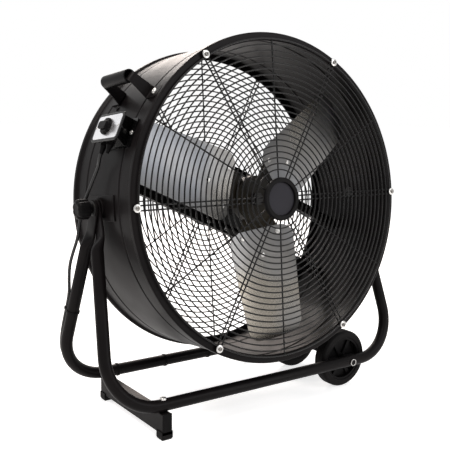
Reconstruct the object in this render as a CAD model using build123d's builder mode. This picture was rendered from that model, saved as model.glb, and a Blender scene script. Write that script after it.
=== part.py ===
"""Drum fan: a wire-guarded drum that tilts between two bent tube frames on a beam and two wheels.

Millimetres. The floor is z = 0, the pivot axis runs along X above the origin, the front faces -Y and
+X is to the right seen from the front. Drum pieces are drawn on the DRUM plane: x to the right, y up
and z out of the front, leaning back by TILT.
"""
import os
from math import asin, atan2, cos, degrees, hypot, pi, radians, sin, sqrt, tan

from build123d import *

# ---- drum -----------------------------------------------------------------------------------------
PIVOT_HEIGHT = 427.0
TILT = 5.8
WALL_RADIUS = 320.0
SHEET = 1.2
RIM_RISE = 5.0
RIM_DEPTH = 10.0
RIM_SLOPE = 5.0
LIP_WIDTH = 17.0
FRONT_RIM = 128.0
REAR_RIM = 119.0
GROOVE_DEPTH = 1.5
GROOVE_WIDTH = 8.0
GROOVE_SPOTS = (73.0, -64.0)

# ---- wire guards ----------------------------------------------------------------------------------
WIRE = 3.0
RING_COUNT = 23
FIRST_RING = 58.0
LAST_RING_INSET = 3.84
RING_SIDES = 24
SMALL_RING_SIDES = 12
SMALL_RING_LIMIT = 120.0
SPOKE_INNER = 26.0
SCREW_INSET = 4.5
SPOKE_COUNT = 6
PAIR_SPACING = 9.0
GUARD_RISE = 4.0
WIRE_GAP = 0.05
GUARD_SEAT = 0.15
GUARD_PLATE_RADIUS = 38.0
GUARD_PLATE = 1.5
GUARD_SCREW = 2.0
GUARD_SCREW_HEAD = 5.2
GUARD_SCREW_HEAD_HEIGHT = 3.0
GUARD_WASHER = 7.5
GUARD_WASHER_THICKNESS = 1.2
GUARD_SCREW_REACH = 12.0
HOLE_CLEARANCE = 0.1
BADGE_RADIUS = 42.6
BADGE_HEIGHT = 8.0
BADGE_RECESS_RADIUS = 34.5
BADGE_FLOOR = 1.5
BADGE_BEVEL = 3.0
BADGE_FACE = 1.5

# ---- motor and its bars ---------------------------------------------------------------------------
BAR_SLOPE = 25.0
BAR_OFFSET = 61.0
BAR_HEIGHT = 21.0
BAR_DEPTH = 16.0
BAR_SHEET = 2.0
BAR_PAD_DEPTH = 32.0
BAR_SCREW_RISE = 24.0
BAR_SCREW = 2.5
BAR_SCREW_HEAD = 5.0
BAR_SCREW_HEAD_HEIGHT = 2.5
BAR_SCREW_REACH = 5.5
MOTOR_SET_BACK = 55.0
MOTOR_RADIUS = 54.0
MOTOR_LENGTH = 56.0
BELL_DEPTH = 16.0
BELL_RADIUS = 50.0
BELL_BEVEL = 10.0
MOTOR_STUD = 3.0
MOTOR_STUD_SPREAD = 24.0
MOTOR_STUD_HEAD = 5.5
MOTOR_STUD_HEAD_HEIGHT = 4.0
MOTOR_STUD_REACH = 10.0
LUG_WIDTH = 14.0
LUG_DEPTH = 12.0
NOSE_RADIUS = 34.0
NOSE_LENGTH = 25.0
SHAFT_RADIUS = 8.0
RUNNING_GAP = 0.05
BEARING_GAP = 0.4

# ---- rotor ----------------------------------------------------------------------------------------
HUB_FRONT = 50.0
BLADE_COUNT = 3
BLADE_START = 38.0
BLADE_PITCH = 11.0
BLADE_CAMBER = 350.0
BLADE_SHEET = 1.6
BLADE_GAP = 22.0
BLADE_ROOT = 62.0
BLADE_ROOT_LEAD = 76.0
BLADE_ROOT_TRAIL = 74.0
BLADE_TIP_LEAD = 64.0
BLADE_TIP_TRAIL = 60.0
BLADE_ROOT_ROUND = 30.0
BLADE_TIP_ROUND = 24.0
ARM_SHEET = 3.0
ARM_INNER = 30.0
ARM_SHOULDER = 84.0
ARM_OUTER = 132.0
ARM_INNER_HALF = 28.0
ARM_SHOULDER_HALF = 54.0
ARM_OUTER_HALF = 13.0
ARM_ROUND = 9.0
RIVET_SPOTS = ((76.0, 41.0), (118.0, 0.0), (76.0, -41.0))
RIVET_RADIUS = 2.5
RIVET_HEAD = 5.5
RIVET_HEAD_HEIGHT = 2.2
RIVET_SEAT = 0.06
HUB_RADIUS = 48.0
HUB_THICKNESS = 20.0
HUB_SET_BACK = 14.0
HUB_SNOUT_RADIUS = 17.0
HUB_SNOUT_LENGTH = 12.0
HUB_NUT = 12.0
HUB_NUT_HEIGHT = 9.0
SHAFT_END = 4.0
SHAFT_CLEAR = 2.0

# ---- handle ---------------------------------------------------------------------------------------
HANDLE_ANGLE = 140.0
HANDLE_FRONT = 23.5
GRIP_LENGTH = 95.0
GRIP_RADIUS = 12.5
GRIP_BORE = 10.4
GRIP_STANDOFF = 50.0
STRAP = 3.0
STRAP_WIDTH = 20.0
STRAP_CLEAR = 3.0
STRAP_SPLAY = 3.0
STRAP_BEND = 5.0
FOOT_LENGTH = 34.0
FOOT_WIDTH = 27.0
HANDLE_BOLT = 3.0
HANDLE_BOLT_SPOT = 24.0
HANDLE_BOLT_HEAD = 6.0
HANDLE_BOLT_HEAD_HEIGHT = 4.0
HANDLE_BOLT_REACH = 9.0
SEAT_GAP = 0.05

# ---- control box ----------------------------------------------------------------------------------
BOX_ANGLE = 155.3
BOX_FRONT = 47.0
BOX_BASE_LENGTH = 60.0
BOX_BASE_WIDTH = 52.0
BOX_TOP_LENGTH = 92.0
BOX_TOP_WIDTH = 43.0
BOX_HEIGHT = 30.0
BOX_FLANGE_LENGTH = 90.0
BOX_FLANGE_WIDTH = 58.0
BOX_FLANGE = 2.5
BOX_FLANGE_ROUND = 5.0
BOX_SCREW = 2.0
BOX_SCREW_HEAD = 4.5
BOX_SCREW_HEAD_HEIGHT = 2.2
BOX_SCREW_REACH = 5.0
PLATE_LENGTH = 102.0
PLATE_WIDTH = 48.0
PLATE_THICKNESS = 3.4
PLATE_ROUND = 3.0
PLATE_SCREW_SPOT = 44.0
SPEED_KNOB_RADIUS = 16.5
SPEED_KNOB_HEIGHT = 15.0
SPEED_KNOB_SKIRT = 9.0
SPEED_KNOB_POINTER = 9.0
SPINDLE_RADIUS = 3.0
SPINDLE_REACH = 9.0
GLAND_RADIUS = 6.5
GLAND_NUT = 8.0
GLAND_NUT_LENGTH = 4.0
GLAND_LENGTH = 13.0
GLAND_RISE = 18.0
POWER_GLAND_SPOT = 24.0
MOTOR_GLAND_SPOT = -2.0

# ---- pivots ---------------------------------------------------------------------------------------
BACKING_REACH = 55.0
BACKING_WIDTH = 48.0
BACKING = 2.5
PIVOT_BOLT = 5.0
PIVOT_BOLT_HEAD = 11.0
PIVOT_BOLT_HEAD_HEIGHT = 4.0
SPACER_RADIUS = 20.0
SPACER = 5.0
BODY_GAP = 0.3
PIVOT_WASHER_RADIUS = 14.0
PIVOT_WASHER = 1.5
CLAMP_NECK_RADIUS = 9.0
CLAMP_NECK_LENGTH = 7.0
CLAMP_RADIUS = 16.5
CLAMP_LENGTH = 25.0
CLAMP_NOTCHES = 6
CLAMP_NOTCH = 4.0
CLAMP_BEVEL = 5.0
CLAMP_BORE_DEPTH = 20.0
CLAMP_THREAD = 18.0

# ---- stand ----------------------------------------------------------------------------------------
TUBE_RADIUS = 12.0
TUBE_WALL = 1.5
TUBE_HEIGHT = 63.5
TUBE_SPREAD = 114.0
LEG_TOP_X = 334.0
LEG_BOTTOM_X = 366.0
LEG_BEND = 98.0
FLAT_THICKNESS = 5.0
FLAT_WIDTH = 33.0
FLAT_REACH = 52.0
FLAT_BLEND = 34.0
BEAM_X = -253.0
BEAM_WIDTH = 20.0
BEAM_WALL = 2.0
BEAM_BASE = 11.5
BEAM_OVERHANG = 15.5
BEAM_PLUG = 1.5
BEAM_PLUG_REACH = 10.0
SHOE_LENGTH = 22.0
SHOE_WALL = 2.0
SHOE_WRAP = 5.5
SHOE_BEVEL = 4.0
BEAM_BOLT = 3.0
BEAM_BOLT_HEAD = 6.5
BEAM_BOLT_HEAD_HEIGHT = 4.0
BEAM_BOLT_REACH = 34.0

# ---- wheels ---------------------------------------------------------------------------------------
AXLE_X = 225.7
AXLE_RADIUS = 6.0
WHEEL_RADIUS = 63.5
WHEEL_WIDTH = 30.0
WHEEL_MIDDLE = 82.0
TYRE_DEPTH = 16.0
TYRE_SHOULDER = 5.0
HUB_RIM = 4.0
HUB_RIM_WIDTH = 26.0
HUB_WEB = 5.0
HUB_BOSS = 11.0
WHEEL_SPOKES = 6
WHEEL_SPOKE = 8.0
WHEEL_SPOKE_DEPTH = 14.0
COLLAR_RADIUS = 10.0
INNER_COLLAR_LENGTH = 6.0
AXLE_RING_RADIUS = 7.5
AXLE_RING_LENGTH = 3.0

# ---- mains cord -----------------------------------------------------------------------------------
CORD = 6.4
CORD_SIDES = 4
CORD_FREE_POINTS = (
    (-326.5, -4.0, 506.0),
    (-333.0, 8.5, 478.0),
    (-339.5, 19.5, 451.0),
    (-346.5, 26.0, 425.0),
    (-352.0, 28.0, 397.0),
    (-355.5, 29.0, 369.0),
    (-360.0, 40.5, 342.0),
    (-362.0, 54.5, 314.0),
    (-361.0, 61.0, 284.0),
    (-357.5, 67.5, 255.0),
)
CORD_TIE_POINT = (-359.5, 79.0, 224.0)
CORD_HELD_POINTS = (
    (-361.6, 91.1, 191.4),
    (-361.5, 104.5, 155.0),
    (-357.0, 113.5, 125.0),
    (-337.0, 122.0, 97.0),
    (-303.0, 128.5, 75.5),
    (-262.0, 131.0, 62.0),
    (-204.0, 129.6, 60.2),
    (-146.0, 130.2, 60.8),
    (-88.0, 129.6, 60.0),
    (-30.0, 130.1, 60.7),
    (22.0, 130.0, 60.2),
    (64.0, 133.0, 53.0),
    (98.0, 142.0, 34.0),
    (124.0, 154.0, 14.5),
    (146.0, 163.8, 6.0),
)
COIL_CENTRE = (214.0, 214.0)
COIL_RADIUS = 26.0
COIL_TURNS = 3
COIL_PITCH = 7.2
COIL_LAYER = 7.0
COIL_TAIL = 24.0
CORD_LIFT = 0.1
CORD_RUN_IN = 22.0
PLUG_LENGTH = 38.0
PLUG_WIDTH = 26.0
PLUG_ROUND = 4.0
PLUG_RELIEF = 14.0
PLUG_RELIEF_RADIUS = 5.0
PLUG_BLADE_THICKNESS = 1.5
PLUG_BLADE_WIDTH = 6.4
PLUG_BLADE_LENGTH = 16.0
PLUG_BLADE_SPACING = 12.7
PLUG_PIN = 2.4
PLUG_PIN_OFFSET = 6.0
TIE_BAND = 1.2
TIE_WIDTH = 4.6
TIE_CLEARANCE = 0.4
TIED_RUNS = (6, 8, 10)

# ---- worked out -----------------------------------------------------------------------------------
RIM_RADIUS = WALL_RADIUS + RIM_RISE
SCREW_CIRCLE = WALL_RADIUS - SCREW_INSET
RING_PITCH = (SCREW_CIRCLE - LAST_RING_INSET - FIRST_RING) / (RING_COUNT - 1)
BLADE_TIP = WALL_RADIUS - BLADE_GAP
BEAM_LENGTH = 2 * (TUBE_SPREAD + BEAM_OVERHANG)
LIP_RADIUS = RIM_RADIUS - LIP_WIDTH
INNER_WALL = WALL_RADIUS - SHEET
DRUM = Plane(
    origin=(0, 0, PIVOT_HEIGHT),
    x_dir=(1, 0, 0),
    z_dir=(0, -cos(radians(TILT)), sin(radians(TILT))),
)
DRUM_SECTION = Plane(origin=DRUM.origin, x_dir=DRUM.x_dir, z_dir=-DRUM.y_dir)
DRUM_AXIS = Axis(DRUM.origin, DRUM.z_dir)
REAR = Plane(origin=DRUM.origin, x_dir=-DRUM.x_dir, z_dir=-DRUM.z_dir)
MOTOR_FACE = DRUM.offset(-MOTOR_SET_BACK)
BARS = Plane(MOTOR_FACE.location * Rotation(0, 0, -BAR_SLOPE))
SPACER_FACE = WALL_RADIUS + BACKING + SPACER
INNER_FLAT_FACE = SPACER_FACE + BODY_GAP
OUTER_FLAT_FACE = INNER_FLAT_FACE + FLAT_THICKNESS
WASHER_FACE = OUTER_FLAT_FACE + FLAT_THICKNESS
CLAMP_FACE = WASHER_FACE + PIVOT_WASHER + BODY_GAP
LEG_DROP = PIVOT_HEIGHT - TUBE_HEIGHT
LEG_LEAN = degrees(atan2(TUBE_SPREAD, LEG_DROP))
LEG_LENGTH = hypot(TUBE_SPREAD, LEG_DROP)
BLADE_ANGLES = [BLADE_START + 360.0 * k / BLADE_COUNT for k in range(BLADE_COUNT)]
BEAM_TOP = TUBE_HEIGHT - TUBE_RADIUS
BEAM_BOLT_SPOTS = [Location((BEAM_X, side * TUBE_SPREAD, TUBE_HEIGHT + TUBE_RADIUS)) for side in (1, -1)]
AXLE_PLANE = Plane(origin=(AXLE_X, 0, TUBE_HEIGHT), x_dir=(1, 0, 0), z_dir=(0, 1, 0))


def finish(piece, label):
    """Name a piece and write it as a STEP file."""
    piece.label = label
    export_step(piece, f"parts/{label}.step")


def outward(angle, radius, front):
    """Place on the drum: z straight out of the wall, x to the rear and y round the drum."""
    spot = DRUM.location * Rotation(0, 0, angle) * Location((radius, 0, front))
    return spot * Rotation(0, 90, 0)


def group(pieces):
    """Several separate solids as one piece."""
    return Compound([solid for piece in pieces for solid in piece.solids()])


def turned(*rings):
    """Round piece along Z with each ring given as a radius and the heights of its two ends."""
    with BuildPart() as piece:
        for radius, low, high in rings:
            with BuildSketch(Plane.XY.offset(low)):
                Circle(radius)
            extrude(amount=high - low)
    return piece.part


def fasteners(spots, head, head_height, shank, reach, lift=0.0):
    """Headed fasteners: a head above each place and a shank below it."""
    piece = turned((shank, -reach, lift), (head, lift, lift + head_height))
    return group([piece.moved(spot) for spot in spots])


def washer(radius, bore, low, high):
    """Flat ring along Z."""
    with BuildPart() as piece:
        with BuildSketch(Plane.XY.offset(low)):
            Circle(radius)
            Circle(bore, mode=Mode.SUBTRACT)
        extrude(amount=high - low)
    return piece.part


def bar_screw_angles():
    """Angles round the drum of the screws that hold the motor bars' end pads."""
    turn = degrees(asin(BAR_OFFSET / INNER_WALL))
    return [middle - BAR_SLOPE + side * turn for middle in (0, 180) for side in (1, -1)]


BAR_SCREW_FRONT = BAR_SCREW_RISE - MOTOR_SET_BACK
BAR_SCREW_SPOTS = [outward(angle, WALL_RADIUS, BAR_SCREW_FRONT) for angle in bar_screw_angles()]
HANDLE_BOLT_OFFSET = GRIP_LENGTH / 2 + HANDLE_BOLT_SPOT
HANDLE_BOLT_SPOTS = [
    outward(HANDLE_ANGLE, WALL_RADIUS, HANDLE_FRONT + side * HANDLE_BOLT_OFFSET) for side in (1, -1)
]
PIVOT_SPOTS = {"left": outward(180, 0, 0), "right": outward(0, 0, 0)}
BOX = Plane(outward(BOX_ANGLE, 0, BOX_FRONT))
FLANGE_TOP = WALL_RADIUS + BOX_FLANGE
BOX_SCREW_SPOTS = [
    BOX.location * Location((side * (BOX_BASE_LENGTH + BOX_FLANGE_LENGTH) / 4, 0, FLANGE_TOP + SEAT_GAP))
    for side in (1, -1)
]


# ---- drum shell -----------------------------------------------------------------------------------
def shell_outline():
    """Outside of the shell as radius and distance in front of the pivot, front lip to rear lip."""
    slope_end = RIM_DEPTH + RIM_SLOPE
    points = [(LIP_RADIUS, FRONT_RIM), (RIM_RADIUS, FRONT_RIM), (RIM_RADIUS, FRONT_RIM - RIM_DEPTH)]
    points.append((WALL_RADIUS, FRONT_RIM - slope_end))
    for spot in GROOVE_SPOTS:
        points.append((WALL_RADIUS, spot + GROOVE_WIDTH / 2))
        points.append((WALL_RADIUS - GROOVE_DEPTH, spot))
        points.append((WALL_RADIUS, spot - GROOVE_WIDTH / 2))
    points.append((WALL_RADIUS, slope_end - REAR_RIM))
    points += [(RIM_RADIUS, RIM_DEPTH - REAR_RIM), (RIM_RADIUS, -REAR_RIM), (LIP_RADIUS, -REAR_RIM)]
    return points


with BuildPart() as drum_shell:
    with BuildSketch(DRUM_SECTION):
        with BuildLine():
            Polyline(*shell_outline())
            offset(amount=SHEET, kind=Kind.INTERSECTION, side=Side.RIGHT)
        make_face()
    revolve(axis=DRUM_AXIS)
    for face, rim in ((DRUM, FRONT_RIM), (REAR, REAR_RIM)):
        with BuildSketch(face.offset(rim - 2 * SHEET)):
            with PolarLocations(SCREW_CIRCLE, SPOKE_COUNT):
                Circle(GUARD_SCREW + HOLE_CLEARANCE)
        extrude(amount=3 * SHEET, mode=Mode.SUBTRACT)
    with Locations(BAR_SCREW_SPOTS):
        Cylinder(BAR_SCREW + HOLE_CLEARANCE, 4 * SHEET, mode=Mode.SUBTRACT)
    with Locations(HANDLE_BOLT_SPOTS):
        Cylinder(HANDLE_BOLT + HOLE_CLEARANCE, 4 * SHEET, mode=Mode.SUBTRACT)
    with Locations([spot * Location((0, 0, WALL_RADIUS)) for spot in PIVOT_SPOTS.values()]):
        Cylinder(PIVOT_BOLT + HOLE_CLEARANCE, 4 * SHEET, mode=Mode.SUBTRACT)
    with Locations(BOX_SCREW_SPOTS):
        Cylinder(BOX_SCREW + HOLE_CLEARANCE, 4 * BOX_FLANGE, mode=Mode.SUBTRACT)


# ---- wire guards ----------------------------------------------------------------------------------
SPOKE_LENGTH = SCREW_CIRCLE - SPOKE_INNER
SPOKE_FALL = degrees(atan2(GUARD_RISE, SPOKE_LENGTH))


def wire_guard(face, rim):
    """Rings on six single spokes and six hairpin spokes, on the face at the rim's distance."""
    height = rim + GUARD_SEAT + WIRE + GUARD_RISE
    spoke_plane = Plane(Location((SPOKE_INNER, 0, height), (0, SPOKE_FALL, 0)))
    with BuildPart() as single:
        with BuildSketch(spoke_plane):
            Rectangle(SPOKE_LENGTH, WIRE, align=(Align.MIN, Align.CENTER))
        extrude(amount=-WIRE)
    with BuildPart() as hairpin:
        with BuildSketch(spoke_plane):
            for width, mode in ((PAIR_SPACING + WIRE, Mode.ADD), (PAIR_SPACING - WIRE, Mode.SUBTRACT)):
                Rectangle(SPOKE_LENGTH, width, align=(Align.MIN, Align.CENTER), mode=mode)
                with Locations((SPOKE_LENGTH, 0)):
                    Circle(width / 2, mode=mode)
        extrude(amount=-WIRE)
    wires = []
    for k in range(SPOKE_COUNT):
        turn = 360.0 * k / SPOKE_COUNT
        wires.append(hairpin.part.moved(Rotation(0, 0, turn)))
        wires.append(single.part.moved(Rotation(0, 0, turn + 180.0 / SPOKE_COUNT)))
    for k in range(RING_COUNT):
        radius = FIRST_RING + k * RING_PITCH
        sides = SMALL_RING_SIDES if radius < SMALL_RING_LIMIT else RING_SIDES
        fall = (radius - WIRE - SPOKE_INNER) * GUARD_RISE / SPOKE_LENGTH
        with BuildPart() as ring:
            with BuildSketch(Plane.XY.offset(height - fall + WIRE_GAP)):
                RegularPolygon(radius + WIRE / 2, sides)
                RegularPolygon(radius - WIRE / 2, sides, mode=Mode.SUBTRACT)
            extrude(amount=WIRE)
        wires.append(ring.part)
    with BuildPart() as plate:
        with BuildSketch(Plane.XY.offset(height + WIRE_GAP)):
            Circle(GUARD_PLATE_RADIUS)
        extrude(amount=GUARD_PLATE)
    wires.append(plate.part)
    return group([wire.moved(face.location) for wire in wires])


def guard_screws(face, rim):
    """Six washered screws through the hairpins' ends into the rim's lip."""
    top = rim + GUARD_SEAT + 2 * WIRE + 2 * WIRE_GAP + GUARD_SEAT
    mid = GUARD_WASHER_THICKNESS
    screw = turned(
        (GUARD_SCREW, -GUARD_SCREW_REACH, 0),
        (GUARD_WASHER, 0, mid),
        (GUARD_SCREW_HEAD, mid, mid + GUARD_SCREW_HEAD_HEIGHT),
    )
    turns = [360.0 * k / SPOKE_COUNT for k in range(SPOKE_COUNT)]
    spots = [face.location * Rotation(0, 0, turn) * Location((SCREW_CIRCLE, 0, top)) for turn in turns]
    return group([screw.moved(spot) for spot in spots])


BADGE_BASE = FRONT_RIM + GUARD_SEAT + WIRE + GUARD_RISE + WIRE_GAP + GUARD_PLATE
BADGE_RIM = BADGE_BASE + BADGE_HEIGHT
with BuildPart() as badge:
    with BuildSketch(DRUM_SECTION):
        with BuildLine():
            Polyline(
                (0, BADGE_BASE),
                (BADGE_RADIUS, BADGE_BASE),
                (BADGE_RADIUS, BADGE_RIM - BADGE_BEVEL),
                (BADGE_RADIUS - BADGE_BEVEL, BADGE_RIM),
                (BADGE_RECESS_RADIUS, BADGE_RIM),
                (BADGE_RECESS_RADIUS, BADGE_BASE + BADGE_FLOOR),
                (0, BADGE_BASE + BADGE_FLOOR),
                close=True,
            )
        make_face()
    revolve(axis=DRUM_AXIS)

with BuildPart() as badge_face:
    with BuildSketch(DRUM.offset(BADGE_BASE + BADGE_FLOOR)):
        Circle(BADGE_RECESS_RADIUS - HOLE_CLEARANCE)
    extrude(amount=BADGE_FACE)


# ---- motor and bars -------------------------------------------------------------------------------
BAR_PAD_RADIUS = INNER_WALL - SEAT_GAP
STUD_SPOTS = [(x * MOTOR_STUD_SPREAD, y * BAR_OFFSET) for x in (1, -1) for y in (1, -1)]
BELL_CENTRE = MOTOR_FACE.offset(-MOTOR_LENGTH)


def motor_bar(side):
    """One channel across the drum above or below the axis, with pads bent to the wall."""
    middle = side * BAR_OFFSET
    with BuildPart() as bar:
        with BuildSketch(BARS):
            Circle(BAR_PAD_RADIUS - BAR_SHEET / 2)
            with Locations((0, middle)):
                Rectangle(2 * WALL_RADIUS, BAR_HEIGHT, mode=Mode.INTERSECT)
        extrude(amount=BAR_DEPTH)
        with BuildSketch(BARS.offset(BAR_SHEET)):
            with Locations((0, middle)):
                Rectangle(2 * WALL_RADIUS, BAR_HEIGHT - 2 * BAR_SHEET)
        extrude(amount=BAR_DEPTH, mode=Mode.SUBTRACT)
        with BuildSketch(BARS):
            Circle(BAR_PAD_RADIUS)
            Circle(BAR_PAD_RADIUS - BAR_SHEET, mode=Mode.SUBTRACT)
            with Locations((0, middle)):
                Rectangle(2 * WALL_RADIUS, BAR_HEIGHT, mode=Mode.INTERSECT)
        extrude(amount=BAR_PAD_DEPTH)
        with BuildSketch(BARS):
            with Locations([spot for spot in STUD_SPOTS if spot[1] * side > 0]):
                Circle(MOTOR_STUD + HOLE_CLEARANCE)
        extrude(amount=BAR_SHEET, mode=Mode.SUBTRACT)
        with Locations([spot * Location((0, 0, -SHEET)) for spot in BAR_SCREW_SPOTS]):
            Cylinder(BAR_SCREW + HOLE_CLEARANCE, 4 * BAR_SHEET, mode=Mode.SUBTRACT)
    return bar.part


with BuildPart() as motor_can:
    with BuildSketch(MOTOR_FACE.offset(-BELL_DEPTH)):
        Circle(MOTOR_RADIUS)
        Circle(SHAFT_RADIUS + BEARING_GAP, mode=Mode.SUBTRACT)
    extrude(amount=2 * BELL_DEPTH - MOTOR_LENGTH)

with BuildPart() as front_bell:
    with BuildSketch(MOTOR_FACE.offset(-BELL_DEPTH)):
        Circle(BELL_RADIUS)
    extrude(amount=BELL_DEPTH)
    with BuildSketch(BARS):
        with Locations((MOTOR_STUD_SPREAD, 0), (-MOTOR_STUD_SPREAD, 0)):
            SlotCenterToCenter(2 * BAR_OFFSET, LUG_WIDTH, rotation=90)
    extrude(amount=-LUG_DEPTH)
    with BuildSketch(MOTOR_FACE):
        Circle(NOSE_RADIUS)
    extrude(amount=NOSE_LENGTH)
    with BuildSketch(MOTOR_FACE.offset(NOSE_LENGTH)):
        Circle(HUB_SNOUT_RADIUS)
    extrude(amount=HUB_SNOUT_LENGTH)
    with BuildSketch(MOTOR_FACE.offset(-BELL_DEPTH)):
        Circle(SHAFT_RADIUS + BEARING_GAP)
    extrude(amount=BELL_DEPTH + NOSE_LENGTH + HUB_SNOUT_LENGTH, mode=Mode.SUBTRACT)
    with BuildSketch(BARS):
        with Locations(STUD_SPOTS):
            Circle(MOTOR_STUD + HOLE_CLEARANCE)
    extrude(amount=-MOTOR_STUD_REACH, mode=Mode.SUBTRACT)

with BuildPart() as rear_bell:
    with BuildSketch(BELL_CENTRE):
        Circle(BELL_RADIUS - BELL_BEVEL)
    with BuildSketch(BELL_CENTRE.offset(BELL_BEVEL)):
        Circle(BELL_RADIUS)
    loft()
    with BuildSketch(BELL_CENTRE.offset(BELL_BEVEL)):
        Circle(BELL_RADIUS)
    extrude(amount=BELL_DEPTH - BELL_BEVEL)
    with BuildSketch(BELL_CENTRE.offset(BELL_DEPTH)):
        Circle(SHAFT_RADIUS + BEARING_GAP)
    extrude(amount=-BELL_DEPTH / 2, mode=Mode.SUBTRACT)


# ---- rotor ----------------------------------------------------------------------------------------
RIVET_REACH = BLADE_SHEET + ARM_SHEET
HUB_BACK = HUB_FRONT - HUB_SET_BACK
HUB_FACE = HUB_BACK + HUB_THICKNESS
SHAFT_BACK = BELL_DEPTH / 2 + SHAFT_CLEAR - MOTOR_LENGTH - MOTOR_SET_BACK


def blade_plane(angle):
    """Plane of one blade: x out along it, y across it to the leading edge, z out of the front."""
    turned_face = DRUM.location * Location((0, 0, HUB_FRONT)) * Rotation(0, 0, angle)
    return Plane(turned_face * Rotation(BLADE_PITCH, 0, 0))


def cambered_sheet(plane, behind, thickness, reach):
    """Sheet bent across the blade, its front the given distance behind the blade's front."""
    section = Plane(origin=plane.origin, x_dir=plane.y_dir, z_dir=plane.x_dir)
    with BuildPart() as sheet:
        with BuildSketch(section):
            with Locations((0, BLADE_CAMBER)):
                Circle(BLADE_CAMBER + behind + thickness)
                Circle(BLADE_CAMBER + behind, mode=Mode.SUBTRACT)
            Rectangle(3 * BLADE_ROOT_LEAD, BLADE_CAMBER, mode=Mode.INTERSECT)
        extrude(amount=reach)
    return sheet.part


def rivet_location(spot):
    """Place on the blade's front surface, square to it."""
    along, across = spot
    lean = asin(across / BLADE_CAMBER)
    return Location((along, across, BLADE_CAMBER * (1 - cos(lean))), (degrees(lean), 0, 0))


def bent_plate(plane, outline, behind, thickness, reach):
    """Cambered sheet cut to an outline and drilled for its rivets."""
    with BuildPart() as plate:
        add(cambered_sheet(plane, behind, thickness, reach))
        with BuildSketch(plane):
            add(outline)
        extrude(amount=BLADE_CAMBER / 4, both=True, mode=Mode.INTERSECT)
        with Locations([plane.location * rivet_location(spot) for spot in RIVET_SPOTS]):
            Cylinder(RIVET_RADIUS + HOLE_CLEARANCE, 6 * RIVET_REACH, mode=Mode.SUBTRACT)
    return plate.part


with BuildSketch() as blade_outline:
    with BuildLine():
        lead_corner = (sqrt(BLADE_TIP**2 - BLADE_TIP_LEAD**2), BLADE_TIP_LEAD)
        trail_corner = (sqrt(BLADE_TIP**2 - BLADE_TIP_TRAIL**2), -BLADE_TIP_TRAIL)
        Polyline(lead_corner, (BLADE_ROOT, BLADE_ROOT_LEAD), (BLADE_ROOT, -BLADE_ROOT_TRAIL), trail_corner)
        ThreePointArc(trail_corner, (BLADE_TIP, 0), lead_corner)
    make_face()
    fillet(blade_outline.vertices().group_by(Axis.X)[0], BLADE_ROOT_ROUND)
    fillet(blade_outline.vertices().sort_by(Axis.X)[-2:], BLADE_TIP_ROUND)

with BuildSketch() as arm_outline:
    with BuildLine():
        Polyline(
            (ARM_INNER, ARM_INNER_HALF),
            (ARM_SHOULDER, ARM_SHOULDER_HALF),
            (ARM_OUTER, ARM_OUTER_HALF),
            (ARM_OUTER, -ARM_OUTER_HALF),
            (ARM_SHOULDER, -ARM_SHOULDER_HALF),
            (ARM_INNER, -ARM_INNER_HALF),
            close=True,
        )
    make_face()
    fillet(arm_outline.vertices().sort_by(Axis.X)[2:], ARM_ROUND)

blades = [
    bent_plate(blade_plane(angle), blade_outline.sketch, 0, BLADE_SHEET, BLADE_TIP + WIRE)
    for angle in BLADE_ANGLES
]

with BuildPart() as rotor_hub:
    with BuildSketch(DRUM.offset(HUB_BACK)):
        Circle(HUB_RADIUS)
    extrude(amount=HUB_THICKNESS)
    with BuildSketch(DRUM.offset(HUB_BACK - HUB_SNOUT_LENGTH)):
        Circle(HUB_SNOUT_RADIUS)
    extrude(amount=HUB_SNOUT_LENGTH)
    for angle in BLADE_ANGLES:
        add(bent_plate(blade_plane(angle), arm_outline.sketch, BLADE_SHEET, ARM_SHEET, ARM_OUTER + WIRE))
    with BuildSketch(DRUM.offset(HUB_BACK - HUB_SNOUT_LENGTH)):
        Circle(SHAFT_RADIUS + RUNNING_GAP)
    extrude(amount=HUB_THICKNESS + HUB_SNOUT_LENGTH, mode=Mode.SUBTRACT)

rivet = turned(
    (RIVET_RADIUS, -RIVET_REACH - RIVET_HEAD_HEIGHT / 2, RIVET_SEAT),
    (RIVET_HEAD, RIVET_SEAT, RIVET_SEAT + RIVET_HEAD_HEIGHT),
)
blade_rivets = group(
    [
        rivet.moved(blade_plane(angle).location * rivet_location(spot))
        for angle in BLADE_ANGLES
        for spot in RIVET_SPOTS
    ]
)

with BuildPart() as motor_shaft:
    with BuildSketch(DRUM.offset(SHAFT_BACK)):
        Circle(SHAFT_RADIUS)
    extrude(amount=HUB_FACE + HUB_NUT_HEIGHT + SHAFT_END - SHAFT_BACK)

with BuildPart() as hub_nut:
    with BuildSketch(DRUM.offset(HUB_FACE)):
        RegularPolygon(HUB_NUT, 6, major_radius=False)
        Circle(SHAFT_RADIUS + RUNNING_GAP, mode=Mode.SUBTRACT)
    extrude(amount=HUB_NUT_HEIGHT)


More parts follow.
